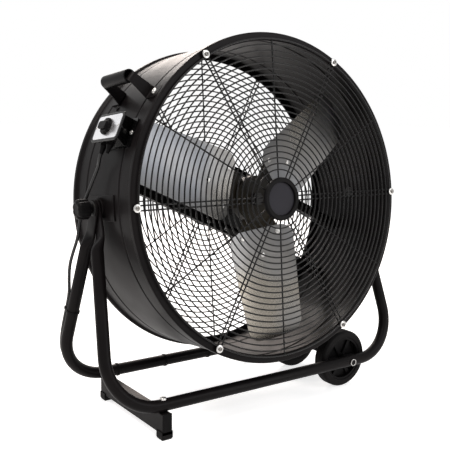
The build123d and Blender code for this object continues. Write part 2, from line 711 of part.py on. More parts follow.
# ---- handle ---------------------------------------------------------------------------------------
HANDLE = Plane(outward(HANDLE_ANGLE, WALL_RADIUS + SEAT_GAP, HANDLE_FRONT))
HANDLE_SIDE = Plane(origin=HANDLE.origin, x_dir=HANDLE.x_dir, z_dir=-HANDLE.y_dir)
HANDLE_END = Plane(origin=HANDLE.origin, x_dir=HANDLE.y_dir, z_dir=HANDLE.x_dir)
STRAP_TOP = GRIP_LENGTH / 2 + STRAP_CLEAR
STRAP_FOOT = STRAP_TOP + STRAP_SPLAY
with BuildPart() as handle_strap:
    with BuildSketch(HANDLE_SIDE):
        with BuildLine():
            rise = GRIP_STANDOFF - STRAP / 2
            FilletPolyline(
                (-STRAP_FOOT - FOOT_LENGTH, 0),
                (-STRAP_FOOT, 0),
                (-STRAP_TOP, rise),
                (STRAP_TOP, rise),
                (STRAP_FOOT, 0),
                (STRAP_FOOT + FOOT_LENGTH, 0),
                radius=STRAP_BEND,
            )
            offset(amount=STRAP, side=Side.LEFT)
        make_face()
    extrude(amount=FOOT_WIDTH / 2, both=True)
    with BuildSketch(HANDLE_END):
        with BuildLine():
            flare = [
                (FOOT_WIDTH / 2, -STRAP),
                (FOOT_WIDTH / 2, STRAP),
                (STRAP_WIDTH / 2, GRIP_STANDOFF - GRIP_RADIUS),
                (STRAP_WIDTH / 2, GRIP_STANDOFF + GRIP_RADIUS),
            ]
            Polyline(*flare, *[(-x, y) for x, y in reversed(flare)], close=True)
        make_face()
    extrude(amount=STRAP_FOOT + FOOT_LENGTH, both=True, mode=Mode.INTERSECT)
    with BuildSketch(HANDLE.offset(-STRAP)):
        RectangleRounded(2 * (STRAP_FOOT + FOOT_LENGTH), FOOT_WIDTH, STRAP_BEND)
    extrude(amount=GRIP_STANDOFF + GRIP_RADIUS, mode=Mode.INTERSECT)
    with BuildSketch(HANDLE):
        with Locations((HANDLE_BOLT_OFFSET, 0), (-HANDLE_BOLT_OFFSET, 0)):
            Circle(HANDLE_BOLT + HOLE_CLEARANCE)
    extrude(amount=STRAP, mode=Mode.SUBTRACT)

GRIP_START = (HANDLE.location * Location((-GRIP_LENGTH / 2, 0, GRIP_STANDOFF))).position
with BuildPart() as handle_grip:
    with BuildSketch(Plane(origin=GRIP_START, x_dir=HANDLE.y_dir, z_dir=HANDLE.x_dir)):
        Circle(GRIP_RADIUS)
        Circle(GRIP_BORE, mode=Mode.SUBTRACT)
    extrude(amount=GRIP_LENGTH)


# ---- control box ----------------------------------------------------------------------------------
BOX_TOP = WALL_RADIUS + BOX_HEIGHT
PLATE_FACE = BOX_TOP + PLATE_THICKNESS
with BuildPart() as control_box:
    with BuildSketch(BOX.offset(WALL_RADIUS - BOX_FLANGE)):
        RectangleRounded(BOX_FLANGE_LENGTH, BOX_FLANGE_WIDTH, BOX_FLANGE_ROUND)
    extrude(amount=2 * BOX_FLANGE)
    with BuildSketch(BOX.offset(FLANGE_TOP)):
        Rectangle(BOX_BASE_LENGTH, BOX_BASE_WIDTH)
    with BuildSketch(BOX.offset(BOX_TOP)):
        Rectangle(BOX_TOP_LENGTH, BOX_TOP_WIDTH)
    loft()
    with BuildSketch(DRUM):
        Circle(WALL_RADIUS + SEAT_GAP)
    extrude(amount=2 * BOX_FRONT, mode=Mode.SUBTRACT)
    with BuildSketch(BOX.offset(BOX_TOP)):
        Circle(SPINDLE_RADIUS + RUNNING_GAP)
        with Locations((PLATE_SCREW_SPOT, 0), (-PLATE_SCREW_SPOT, 0)):
            Circle(BOX_SCREW + HOLE_CLEARANCE)
    extrude(amount=-2 * SPINDLE_REACH, mode=Mode.SUBTRACT)
    with Locations(BOX_SCREW_SPOTS):
        Cylinder(BOX_SCREW + HOLE_CLEARANCE, 4 * BOX_FLANGE, mode=Mode.SUBTRACT)

with BuildPart() as control_plate:
    with BuildSketch(BOX.offset(BOX_TOP)):
        RectangleRounded(PLATE_LENGTH, PLATE_WIDTH, PLATE_ROUND)
        Circle(SPINDLE_RADIUS + RUNNING_GAP, mode=Mode.SUBTRACT)
        with Locations((PLATE_SCREW_SPOT, 0), (-PLATE_SCREW_SPOT, 0)):
            Circle(BOX_SCREW + HOLE_CLEARANCE, mode=Mode.SUBTRACT)
    extrude(amount=PLATE_THICKNESS)

with BuildPart() as speed_knob:
    with BuildSketch(BOX.offset(PLATE_FACE + BODY_GAP)):
        Circle(SPEED_KNOB_RADIUS)
    extrude(amount=SPEED_KNOB_SKIRT)
    with BuildSketch(BOX.offset(PLATE_FACE + BODY_GAP)):
        SlotOverall(2 * SPEED_KNOB_RADIUS - 1, SPEED_KNOB_POINTER)
    extrude(amount=SPEED_KNOB_HEIGHT)
    with BuildSketch(BOX.offset(PLATE_FACE + BODY_GAP)):
        Circle(SPINDLE_RADIUS)
    extrude(amount=-SPINDLE_REACH)

PLATE_SCREW_SPOTS = [
    BOX.location * Location((side * PLATE_SCREW_SPOT, 0, PLATE_FACE + SEAT_GAP)) for side in (1, -1)
]


def gland_location(spot):
    """Place on the box's lower side: z leaves the side round the drum."""
    return BOX.location * Location((spot, BOX_TOP_WIDTH / 2, WALL_RADIUS + GLAND_RISE), (-90, 0, 0))


def gland(spot):
    """Cable gland with a nut, seated on the sloped side of the box."""
    face = Plane(gland_location(spot))
    with BuildPart() as piece:
        with BuildSketch(face):
            RegularPolygon(GLAND_NUT, 6)
        extrude(amount=GLAND_NUT_LENGTH)
        with BuildSketch(face.offset(GLAND_NUT_LENGTH)):
            Circle(GLAND_RADIUS)
        extrude(amount=GLAND_LENGTH - GLAND_NUT_LENGTH)
        add(control_box.part, mode=Mode.SUBTRACT)
    return piece.part


# ---- pivots ---------------------------------------------------------------------------------------
def backing_plate(side, spot):
    """Strip on the drum wall that spreads the pivot's load, bent to the wall."""
    with BuildPart() as plate:
        with BuildSketch(DRUM.offset(-BACKING_REACH)):
            Circle(WALL_RADIUS + BACKING)
            Circle(WALL_RADIUS + SEAT_GAP, mode=Mode.SUBTRACT)
            with Locations((side * WALL_RADIUS, 0)):
                Rectangle(WALL_RADIUS / 4, BACKING_WIDTH, mode=Mode.INTERSECT)
        extrude(amount=2 * BACKING_REACH)
        with Locations(spot * Location((0, 0, WALL_RADIUS))):
            Cylinder(PIVOT_BOLT + HOLE_CLEARANCE, 4 * BACKING, mode=Mode.SUBTRACT)
    return plate.part


def clamp_knob(spot):
    """Hand knob with finger notches round its grip and a blind bore for the pivot bolt."""
    grip_start = CLAMP_FACE + CLAMP_NECK_LENGTH
    with BuildPart() as knob:
        with BuildSketch(Plane.XY.offset(CLAMP_FACE)):
            Circle(CLAMP_NECK_RADIUS)
        extrude(amount=CLAMP_NECK_LENGTH)
        with BuildSketch(Plane.XY.offset(grip_start)):
            Circle(CLAMP_RADIUS)
            with PolarLocations(CLAMP_RADIUS + CLAMP_NOTCH / 2, CLAMP_NOTCHES):
                Circle(CLAMP_NOTCH, mode=Mode.SUBTRACT)
        extrude(amount=CLAMP_LENGTH - CLAMP_BEVEL)
        with BuildSketch(Plane.XY.offset(grip_start + CLAMP_LENGTH - CLAMP_BEVEL)):
            Circle(CLAMP_RADIUS - CLAMP_NOTCH / 2)
        extrude(amount=CLAMP_BEVEL, taper=45)
        with BuildSketch(Plane.XY.offset(CLAMP_FACE)):
            Circle(PIVOT_BOLT + RUNNING_GAP)
        extrude(amount=CLAMP_BORE_DEPTH, mode=Mode.SUBTRACT)
    return knob.part.moved(spot)


BOLT_SEAT = sqrt(INNER_WALL**2 - PIVOT_BOLT_HEAD**2) - SEAT_GAP
pivot_bolt = turned(
    (PIVOT_BOLT_HEAD, BOLT_SEAT - PIVOT_BOLT_HEAD_HEIGHT, BOLT_SEAT),
    (PIVOT_BOLT, BOLT_SEAT, CLAMP_FACE + CLAMP_THREAD),
)
pivot_spacer = washer(SPACER_RADIUS, PIVOT_BOLT + HOLE_CLEARANCE, WALL_RADIUS + BACKING, SPACER_FACE)
pivot_washer = washer(
    PIVOT_WASHER_RADIUS, PIVOT_BOLT + RUNNING_GAP, WASHER_FACE, WASHER_FACE + PIVOT_WASHER
)


# ---- stand ----------------------------------------------------------------------------------------
def frame_plane(lean):
    """Plane of one bent tube frame: origin on the pivot axis, y up along the legs."""
    return Plane(
        origin=(0, 0, PIVOT_HEIGHT),
        x_dir=(1, 0, 0),
        z_dir=(0, -cos(radians(lean)), sin(radians(lean))),
    )


def leg_x(down):
    """Half width between the legs' centre lines, a distance down from the pivot."""
    return LEG_TOP_X + (LEG_BOTTOM_X - LEG_TOP_X) * down / LEG_LENGTH


def plane_at(plane, across, down, z_dir):
    """Plane at a place in a frame's plane, with x across the frame's thickness."""
    origin = (plane.location * Location((across, -down, 0))).position
    return Plane(origin=origin, x_dir=plane.z_dir, z_dir=z_dir)


def round_section(radius):
    """Full circle drawn as four arcs, one for each side of a flattened section."""
    reach = radius * sqrt(0.5)
    corners = ((reach, -reach), (reach, reach), (-reach, reach), (-reach, -reach))
    crests = ((radius, 0), (0, radius), (-radius, 0), (0, -radius))
    with BuildSketch() as section:
        with BuildLine():
            for k in range(4):
                ThreePointArc(corners[k], crests[k], corners[(k + 1) % 4])
        make_face()
    return section.sketch


def squashed_end(plane, side, face):
    """Flattened and drilled end of one leg, and the stretch where it becomes round."""
    round_down = FLAT_REACH + FLAT_BLEND
    middle = side * (face + FLAT_THICKNESS / 2)
    along = plane.x_dir * side * (LEG_BOTTOM_X - LEG_TOP_X) - plane.y_dir * LEG_LENGTH
    round_part = round_section(TUBE_RADIUS)
    with BuildPart() as end:
        with BuildSketch(plane_at(plane, middle, 0, plane.x_dir)):
            Circle(FLAT_WIDTH / 2)
        extrude(amount=FLAT_THICKNESS / 2, both=True)
        with BuildSketch(plane_at(plane, middle, 0, -plane.y_dir)):
            Rectangle(FLAT_WIDTH, FLAT_THICKNESS)
        extrude(amount=FLAT_REACH)
        with BuildSketch(plane_at(plane, middle, FLAT_REACH, -plane.y_dir)):
            Rectangle(FLAT_WIDTH, FLAT_THICKNESS)
        with BuildSketch(plane_at(plane, side * leg_x(round_down), round_down, along)):
            add(round_part)
        loft()
        with BuildSketch(plane_at(plane, middle, 0, plane.x_dir)):
            Circle(PIVOT_BOLT + RUNNING_GAP)
        extrude(amount=FLAT_THICKNESS, both=True, mode=Mode.SUBTRACT)
    return end.part


def tube_frame(lean, face):
    """One bent tube frame with flattened ends, drilled for the beam's bolt and the axle."""
    plane = frame_plane(lean)
    front = -TUBE_SPREAD if lean > 0 else TUBE_SPREAD
    top = FLAT_REACH + FLAT_BLEND
    round_part = round_section(TUBE_RADIUS)
    with BuildPart() as frame:
        with BuildLine(plane) as path:
            FilletPolyline(
                (-leg_x(top), -top),
                (-LEG_BOTTOM_X, -LEG_LENGTH),
                (LEG_BOTTOM_X, -LEG_LENGTH),
                (leg_x(top), -top),
                radius=LEG_BEND,
            )
        with BuildSketch(Plane(origin=path.line @ 0, x_dir=plane.z_dir, z_dir=path.line % 0)):
            add(round_part)
            Circle(TUBE_RADIUS - TUBE_WALL, mode=Mode.SUBTRACT)
        sweep(path=path.line)
        add(squashed_end(plane, -1, face))
        add(squashed_end(plane, 1, face))
        with Locations((BEAM_X, front, TUBE_HEIGHT)):
            Cylinder(BEAM_BOLT + HOLE_CLEARANCE, 4 * TUBE_RADIUS, mode=Mode.SUBTRACT)
        with Locations(AXLE_PLANE.location * Location((0, 0, front))):
            Cylinder(AXLE_RADIUS + RUNNING_GAP, 4 * TUBE_RADIUS, mode=Mode.SUBTRACT)
    return frame.part


with BuildPart() as foot_beam:
    beam_end = Plane.XZ.offset(-BEAM_LENGTH / 2)
    with BuildSketch(beam_end):
        with Locations((BEAM_X, (BEAM_BASE + BEAM_TOP) / 2)):
            Rectangle(BEAM_WIDTH, BEAM_TOP - BEAM_BASE)
            Rectangle(BEAM_WIDTH - 2 * BEAM_WALL, BEAM_TOP - BEAM_BASE - 2 * BEAM_WALL, mode=Mode.SUBTRACT)
    extrude(amount=BEAM_LENGTH)
    with Locations([spot * Location((0, 0, -2 * TUBE_RADIUS)) for spot in BEAM_BOLT_SPOTS]):
        Cylinder(BEAM_BOLT + HOLE_CLEARANCE, 4 * BEAM_WALL, mode=Mode.SUBTRACT)


def beam_plug(side):
    """Plastic plug that closes one end of the beam."""
    face = Plane(origin=(BEAM_X, side * BEAM_LENGTH / 2, (BEAM_BASE + BEAM_TOP) / 2), z_dir=(0, side, 0))
    inset = 2 * (BEAM_WALL + HOLE_CLEARANCE)
    height = BEAM_TOP - BEAM_BASE
    with BuildPart() as plug:
        with BuildSketch(Plane(origin=face.origin, x_dir=(1, 0, 0), z_dir=face.z_dir)):
            Rectangle(BEAM_WIDTH, height)
        extrude(amount=BEAM_PLUG)
        with BuildSketch(Plane(origin=face.origin, x_dir=(1, 0, 0), z_dir=face.z_dir)):
            Rectangle(BEAM_WIDTH - inset, height - inset)
        extrude(amount=-BEAM_PLUG_REACH)
    return plug.part


def beam_shoe(side):
    """Rubber shoe that cradles the beam's underside at one end, drawn in towards the floor."""
    middle = side * (BEAM_LENGTH / 2 + BEAM_PLUG - SHOE_LENGTH / 2)
    width = BEAM_WIDTH + 2 * SHOE_WALL
    with BuildPart() as shoe:
        with BuildSketch(Plane.XY):
            with Locations((BEAM_X, middle)):
                Rectangle(width - SHOE_BEVEL, SHOE_LENGTH - SHOE_BEVEL)
        with BuildSketch(Plane.XY.offset(SHOE_BEVEL)):
            with Locations((BEAM_X, middle)):
                Rectangle(width, SHOE_LENGTH)
        loft()
        with BuildSketch(Plane.XY.offset(SHOE_BEVEL)):
            with Locations((BEAM_X, middle)):
                Rectangle(width, SHOE_LENGTH)
        extrude(amount=BEAM_BASE + SHOE_WRAP - SHOE_BEVEL)
        with BuildSketch(Plane.XY.offset(BEAM_BASE)):
            with Locations((BEAM_X, middle)):
                Rectangle(BEAM_WIDTH, 2 * SHOE_LENGTH)
        extrude(amount=2 * SHOE_WRAP, mode=Mode.SUBTRACT)
    return shoe.part


# ---- wheels ---------------------------------------------------------------------------------------
def wheel_plane(side):
    """Middle plane of one wheel on the axle."""
    return AXLE_PLANE.offset(side * WHEEL_MIDDLE)


def tyre(side):
    """Solid rubber tyre with bevelled shoulders."""
    middle = wheel_plane(side)
    half = WHEEL_WIDTH / 2
    seat = WHEEL_RADIUS - TYRE_DEPTH
    with BuildPart() as piece:
        with BuildSketch(Plane(origin=middle.origin, x_dir=middle.x_dir, z_dir=-middle.y_dir)):
            with BuildLine():
                Polyline(
                    (seat, -half),
                    (WHEEL_RADIUS - TYRE_SHOULDER, -half),
                    (WHEEL_RADIUS, TYRE_SHOULDER - half),
                    (WHEEL_RADIUS, half - TYRE_SHOULDER),
                    (WHEEL_RADIUS - TYRE_SHOULDER, half),
                    (seat, half),
                    close=True,
                )
            make_face()
        revolve(axis=Axis(middle.origin, middle.z_dir))
    return piece.part


def wheel_hub(side):
    """Plastic wheel centre: rim, thin web, raised spokes and a bored boss."""
    middle = wheel_plane(side)
    rim = WHEEL_RADIUS - TYRE_DEPTH
    with BuildPart() as hub:
        with BuildSketch(middle):
            Circle(rim)
            Circle(rim - HUB_RIM, mode=Mode.SUBTRACT)
        extrude(amount=HUB_RIM_WIDTH / 2, both=True)
        with BuildSketch(middle):
            Circle(rim - HUB_RIM / 2)
        extrude(amount=HUB_WEB / 2, both=True)
        with BuildSketch(middle):
            with PolarLocations(0, WHEEL_SPOKES):
                Rectangle(rim - HUB_RIM / 2, WHEEL_SPOKE, align=(Align.MIN, Align.CENTER))
        extrude(amount=WHEEL_SPOKE_DEPTH / 2, both=True)
        with BuildSketch(middle):
            Circle(HUB_BOSS)
        extrude(amount=WHEEL_WIDTH / 2, both=True)
        with BuildSketch(middle):
            Circle(AXLE_RADIUS + RUNNING_GAP)
        extrude(amount=WHEEL_WIDTH, both=True, mode=Mode.SUBTRACT)
    return hub.part


OUTER_COLLAR_START = WHEEL_MIDDLE + WHEEL_WIDTH / 2 + BODY_GAP
INNER_COLLAR_END = WHEEL_MIDDLE - WHEEL_WIDTH / 2 - BODY_GAP
RING_START = TUBE_SPREAD + TUBE_RADIUS + SEAT_GAP
wheel_axle = turned((AXLE_RADIUS, -RING_START - AXLE_RING_LENGTH, RING_START + AXLE_RING_LENGTH))
collar_ends = (
    (OUTER_COLLAR_START, TUBE_SPREAD - TUBE_RADIUS - SEAT_GAP),
    (INNER_COLLAR_END - INNER_COLLAR_LENGTH, INNER_COLLAR_END),
)
axle_collars = group(
    [
        washer(COLLAR_RADIUS, AXLE_RADIUS + RUNNING_GAP, low, high).moved(Rotation(turn, 0, 0))
        for low, high in collar_ends
        for turn in (0, 180)
    ]
)
axle_ring = washer(AXLE_RING_RADIUS, AXLE_RADIUS + RUNNING_GAP, RING_START, RING_START + AXLE_RING_LENGTH)
axle_rings = group([axle_ring, axle_ring.moved(Rotation(180, 0, 0))])


# ---- mains cord -----------------------------------------------------------------------------------
def bend_radii(points):
    """Radius of the arc at each inner point, as large as the shorter run beside it allows."""
    radii = []
    for before, here, after in zip(points, points[1:], points[2:]):
        first = Vector(here) - Vector(before)
        second = Vector(after) - Vector(here)
        half_turn = radians(first.get_angle(second)) / 2
        radii.append(0.45 * min(first.length, second.length) / tan(half_turn))
    return radii


def cord_tube(points, label):
    """Faceted tube along straight runs joined by arcs, with its radii and volume printed."""
    radii = bend_radii(points)
    with BuildPart() as tube:
        with BuildLine() as path:
            FilletPolyline(*points, radius=radii)
        route = path.wires()[0]
        with BuildSketch(Plane(origin=route @ 0, z_dir=route % 0)):
            RegularPolygon(CORD / 2, CORD_SIDES)
        sweep(path=route)
    area = CORD_SIDES * (CORD / 2) ** 2 * sin(2 * pi / CORD_SIDES) / 2
    print(f"{label}: smallest radius {min(radii):.1f}, length {route.length:.0f}")
    print(f"{label}: volume {tube.part.volume:.0f} against {area * route.length:.0f}")
    return tube.part


power_gland_end = gland_location(POWER_GLAND_SPOT) * Location((0, 0, GLAND_LENGTH))
lead_start = power_gland_end.position
lead_straight = (power_gland_end * Location((0, 0, 3 * CORD))).position
cord_lead_points = [tuple(lead_start), tuple(lead_straight), *CORD_FREE_POINTS, CORD_TIE_POINT]


def coil_layer(centre_x, start_y, radii, height):
    """Half turns one after another, the first from the near side; gives where the last one ends."""
    side = 1
    for radius in radii:
        end_y = start_y + 2 * side * radius
        middle = (centre_x + side * radius, (start_y + end_y) / 2, height)
        ThreePointArc((centre_x, start_y, height), middle, (centre_x, end_y, height))
        start_y = end_y
        side = -side
    return start_y


COIL_X, COIL_Y = COIL_CENTRE
HALF_PITCH = COIL_PITCH / 2
INWARD_RADII = [COIL_RADIUS + k * HALF_PITCH for k in reversed(range(2 * COIL_TURNS))]
CLIMB_RADIUS = COIL_RADIUS - HALF_PITCH
OUTWARD_RADII = [COIL_RADIUS + k * HALF_PITCH for k in range(2 * COIL_TURNS - 1)]
COIL_START_Y = COIL_Y - INWARD_RADII[0]
LOW_LAYER = CORD / 2 + CORD_LIFT
TOP_LAYER = LOW_LAYER + COIL_LAYER
COIL_START = (COIL_X - COIL_TAIL, COIL_START_Y, LOW_LAYER)
COIL_END = (COIL_X + COIL_TAIL, COIL_START_Y, TOP_LAYER)

with BuildPart() as mains_coil:
    with BuildLine() as coil_path:
        Line(COIL_START, (COIL_X, COIL_START_Y, LOW_LAYER))
        climb_y = coil_layer(COIL_X, COIL_START_Y, INWARD_RADII, LOW_LAYER)
        climb_middle = (
            COIL_X + hypot(CLIMB_RADIUS, COIL_LAYER / 2),
            climb_y + CLIMB_RADIUS,
            LOW_LAYER + COIL_LAYER / 2,
        )
        far_side = (COIL_X, climb_y + 2 * CLIMB_RADIUS, TOP_LAYER)
        rise = TangentArc((COIL_X, climb_y, LOW_LAYER), climb_middle, tangent=(1, 0, 0))
        TangentArc(climb_middle, far_side, tangent=rise % 1)
        far_y = far_side[1]
        side = -1
        for radius in OUTWARD_RADII:
            near_y = far_y + 2 * side * radius
            bulge = (COIL_X + side * radius, (far_y + near_y) / 2, TOP_LAYER)
            ThreePointArc((COIL_X, far_y, TOP_LAYER), bulge, (COIL_X, near_y, TOP_LAYER))
            far_y = near_y
            side = -side
        Line((COIL_X, far_y, TOP_LAYER), COIL_END)
    coil_route = coil_path.wires()[0]
    with BuildSketch(Plane(origin=COIL_START, z_dir=(1, 0, 0))):
        RegularPolygon(CORD / 2, CORD_SIDES)
    sweep(path=coil_route)

coil_steps = int(coil_route.length / CORD) * 2
coil_points = [coil_route @ (k / coil_steps) for k in range(coil_steps + 1)]
near_steps = int(6 * CORD / coil_route.length * coil_steps)
least_gap = min(
    (first - second).length
    for k, first in enumerate(coil_points)
    for second in coil_points[k + near_steps :]
)
print(f"mains_coil: length {coil_route.length:.0f}, least gap to itself {least_gap - CORD:.2f}")

run_in = (COIL_START[0] - CORD_RUN_IN, COIL_START_Y, LOW_LAYER)
control_lead = cord_tube(cord_lead_points, "control_lead")
mains_cord = cord_tube([CORD_TIE_POINT, *CORD_HELD_POINTS, run_in, COIL_START], "mains_cord")

PLUG_START = Plane(origin=COIL_END, x_dir=(0, 1, 0), z_dir=(1, 0, 0))
with BuildPart() as mains_plug:
    with BuildSketch(PLUG_START):
        Circle(PLUG_RELIEF_RADIUS)
    extrude(amount=PLUG_RELIEF)
    with BuildSketch(PLUG_START.offset(PLUG_RELIEF)):
        RectangleRounded(PLUG_WIDTH, 2 * TOP_LAYER, PLUG_ROUND)
    extrude(amount=PLUG_LENGTH)

with BuildPart() as plug_pins:
    with BuildSketch(PLUG_START.offset(PLUG_RELIEF + PLUG_LENGTH)):
        with Locations([(side * PLUG_BLADE_SPACING / 2, PLUG_BLADE_WIDTH / 2) for side in (1, -1)]):
            Rectangle(PLUG_BLADE_THICKNESS, PLUG_BLADE_WIDTH)
        with Locations((0, -PLUG_PIN_OFFSET)):
            Circle(PLUG_PIN)
    extrude(amount=PLUG_BLADE_LENGTH)


def cable_tie(axis_point, axis_direction, cord_point):
    """Band pulled round a tube and the cord beside it."""
    along = Vector(axis_direction).normalized()
    beside = Vector(cord_point) - Vector(axis_point)
    centre = Vector(axis_point) + along * beside.dot(along)
    reach = Vector(cord_point) - centre
    plane = Plane(origin=centre, x_dir=reach, z_dir=along)
    outlines = []
    for margin in (TIE_CLEARANCE, TIE_CLEARANCE + TIE_BAND):
        with BuildSketch() as outline:
            Circle(TUBE_RADIUS + margin)
            with Locations((reach.length, 0)):
                Circle(CORD / 2 + margin)
            make_hull()
        outlines.append(outline.sketch)
    with BuildPart() as tie:
        with BuildSketch(plane):
            add(outlines[1])
            add(outlines[0], mode=Mode.SUBTRACT)
        extrude(amount=TIE_WIDTH / 2, both=True)
    return tie.part


rear_plane = frame_plane(-LEG_LEAN)
leg_top = (rear_plane.location * Location((-LEG_TOP_X, 0, 0))).position
leg_bottom = (rear_plane.location * Location((-LEG_BOTTOM_X, -LEG_LENGTH, 0))).position
ties = [cable_tie(leg_top, leg_bottom - leg_top, CORD_TIE_POINT)]
for run in TIED_RUNS:
    middle = (Vector(CORD_HELD_POINTS[run - 1]) + Vector(CORD_HELD_POINTS[run])) * 0.5
    ties.append(cable_tie((0, TUBE_SPREAD, TUBE_HEIGHT), (1, 0, 0), middle))


# ---- files ----------------------------------------------------------------------------------------
os.makedirs("parts", exist_ok=True)
finish(drum_shell.part, "drum_shell")
finish(wire_guard(DRUM, FRONT_RIM), "front_grille")
finish(wire_guard(REAR, REAR_RIM), "rear_grille")
finish(guard_screws(DRUM, FRONT_RIM), "front_screws")
finish(guard_screws(REAR, REAR_RIM), "rear_screws")
finish(badge.part, "badge")
finish(badge_face.part, "badge_face")
finish(motor_bar(1), "upper_motor_bar")
finish(motor_bar(-1), "lower_motor_bar")
finish(
    fasteners(BAR_SCREW_SPOTS, BAR_SCREW_HEAD, BAR_SCREW_HEAD_HEIGHT, BAR_SCREW, BAR_SCREW_REACH, SEAT_GAP),
    "bar_screws",
)
finish(motor_can.part, "motor_can")
finish(front_bell.part, "motor_front_bell")
finish(rear_bell.part, "motor_rear_bell")
stud_places = [BARS.location * Location((x, y, BAR_SHEET)) for x, y in STUD_SPOTS]
finish(
    fasteners(
        stud_places, MOTOR_STUD_HEAD, MOTOR_STUD_HEAD_HEIGHT, MOTOR_STUD, MOTOR_STUD_REACH, SEAT_GAP
    ),
    "motor_studs",
)
finish(rotor_hub.part, "rotor_hub")
for number, piece in enumerate(blades, start=1):
    finish(piece, f"blade_{number}")
finish(blade_rivets, "blade_rivets")
finish(motor_shaft.part, "motor_shaft")
finish(hub_nut.part, "hub_nut")
finish(handle_strap.part, "handle_strap")
finish(handle_grip.part, "handle_grip")
handle_bolt_places = [spot * Location((0, 0, STRAP + SEAT_GAP)) for spot in HANDLE_BOLT_SPOTS]
handle_bolts = fasteners(
    handle_bolt_places,
    HANDLE_BOLT_HEAD,
    HANDLE_BOLT_HEAD_HEIGHT,
    HANDLE_BOLT,
    HANDLE_BOLT_REACH,
    SEAT_GAP,
)
finish(handle_bolts, "handle_bolts")
finish(control_box.part, "control_box")
finish(control_plate.part, "control_plate")
box_screw_spots = BOX_SCREW_SPOTS + PLATE_SCREW_SPOTS
box_screws = fasteners(box_screw_spots, BOX_SCREW_HEAD, BOX_SCREW_HEAD_HEIGHT, BOX_SCREW, BOX_SCREW_REACH)
finish(box_screws, "box_screws")
finish(speed_knob.part, "speed_knob")
finish(gland(POWER_GLAND_SPOT), "power_gland")
finish(gland(MOTOR_GLAND_SPOT), "motor_gland")
for name, side in (("left", -1), ("right", 1)):
    finish(backing_plate(side, PIVOT_SPOTS[name]), f"{name}_backing_plate")
    finish(clamp_knob(PIVOT_SPOTS[name]), f"{name}_clamp_knob")
finish(group([pivot_bolt.moved(spot) for spot in PIVOT_SPOTS.values()]), "pivot_bolts")
finish(group([pivot_spacer.moved(spot) for spot in PIVOT_SPOTS.values()]), "pivot_spacers")
finish(group([pivot_washer.moved(spot) for spot in PIVOT_SPOTS.values()]), "pivot_washers")
finish(tube_frame(LEG_LEAN, INNER_FLAT_FACE), "front_frame")
finish(tube_frame(-LEG_LEAN, OUTER_FLAT_FACE), "rear_frame")
finish(foot_beam.part, "foot_beam")
finish(group([beam_plug(-1), beam_plug(1)]), "beam_plugs")
finish(group([beam_shoe(-1), beam_shoe(1)]), "beam_shoes")
finish(
    fasteners(
        BEAM_BOLT_SPOTS, BEAM_BOLT_HEAD, BEAM_BOLT_HEAD_HEIGHT, BEAM_BOLT, BEAM_BOLT_REACH, SEAT_GAP
    ),
    "beam_bolts",
)
for name, side in (("front", -1), ("rear", 1)):
    finish(tyre(side), f"{name}_tyre")
    finish(wheel_hub(side), f"{name}_wheel_hub")
finish(wheel_axle.moved(AXLE_PLANE.location), "wheel_axle")
finish(axle_collars.moved(AXLE_PLANE.location), "axle_collars")
finish(axle_rings.moved(AXLE_PLANE.location), "axle_rings")
finish(control_lead, "control_lead")
finish(mains_cord, "mains_cord")
finish(mains_coil.part, "mains_coil")
finish(mains_plug.part, "mains_plug")
finish(plug_pins.part, "plug_pins")
finish(group(ties), "cable_ties")
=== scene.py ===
"""Drum fan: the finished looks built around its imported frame.

Metres. The floor is z = 0, the pivot axis runs along X above the origin, the front faces -Y and +X is
to the right seen from the front. Drum pieces are made on the drum's own place: x to the right, y up and
z out of the front, leaning back by its tilt.
"""
import logging
import math
from dataclasses import dataclass
from enum import Enum
from typing import Any, Callable, Sequence

import bmesh
import bpy
from mathutils import Matrix, Vector


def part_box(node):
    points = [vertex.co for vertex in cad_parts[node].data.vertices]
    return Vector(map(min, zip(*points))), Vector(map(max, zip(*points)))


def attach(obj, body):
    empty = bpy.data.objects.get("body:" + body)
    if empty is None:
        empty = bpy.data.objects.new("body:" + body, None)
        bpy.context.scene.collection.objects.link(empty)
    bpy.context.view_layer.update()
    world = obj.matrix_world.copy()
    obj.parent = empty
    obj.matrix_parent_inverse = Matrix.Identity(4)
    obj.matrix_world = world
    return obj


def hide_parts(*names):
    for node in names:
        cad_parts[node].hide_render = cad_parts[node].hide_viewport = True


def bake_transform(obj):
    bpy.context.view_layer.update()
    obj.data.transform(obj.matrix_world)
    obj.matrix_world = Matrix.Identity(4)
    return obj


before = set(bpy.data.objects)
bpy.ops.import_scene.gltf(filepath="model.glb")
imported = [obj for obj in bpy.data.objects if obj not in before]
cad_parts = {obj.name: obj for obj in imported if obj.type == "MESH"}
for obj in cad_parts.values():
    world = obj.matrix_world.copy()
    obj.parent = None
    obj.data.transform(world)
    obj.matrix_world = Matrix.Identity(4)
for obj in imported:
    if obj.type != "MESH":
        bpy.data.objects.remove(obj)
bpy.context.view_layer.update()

LOG = logging.getLogger("drum_fan")
TINY = 1e-7
SEAM = 2e-5
SIDE_SHARE = 0.48
SEED = 7

Pair = tuple[float, float]
Triple = tuple[float, float, float]
Outline = list[Pair]
Shape = bpy.types.Object


# ---- places ---------------------------------------------------------------------------------------
def turned(angle: float, axis: str) -> Matrix:
    """Turn about a main axis.

    Args:
        angle: degrees, by the right-hand rule.
        axis: "X", "Y" or "Z".

    Returns:
        The turn as a matrix.
    """
    return Matrix.Rotation(math.radians(angle), 4, axis)


def moved(x: float = 0.0, y: float = 0.0, z: float = 0.0) -> Matrix:
    """Shift by three distances, as a matrix."""
    return Matrix.Translation((x, y, z))


def leaning(height: float, lean: float, side: int = 1) -> Matrix:
    """Upright place on the Z axis that leans.

    Args:
        height: height of its origin.
        lean: angle from upright in radians.
        side: 1 where its top leans to the rear, -1 where it leans to the front.

    Returns:
        The place, with x to the right, y up and z to the front.
    """
    up, aside = math.cos(lean), side * math.sin(lean)
    return moved(z=height) @ Matrix(((1, 0, 0, 0), (0, aside, -up, 0), (0, up, aside, 0), (0, 0, 0, 1)))


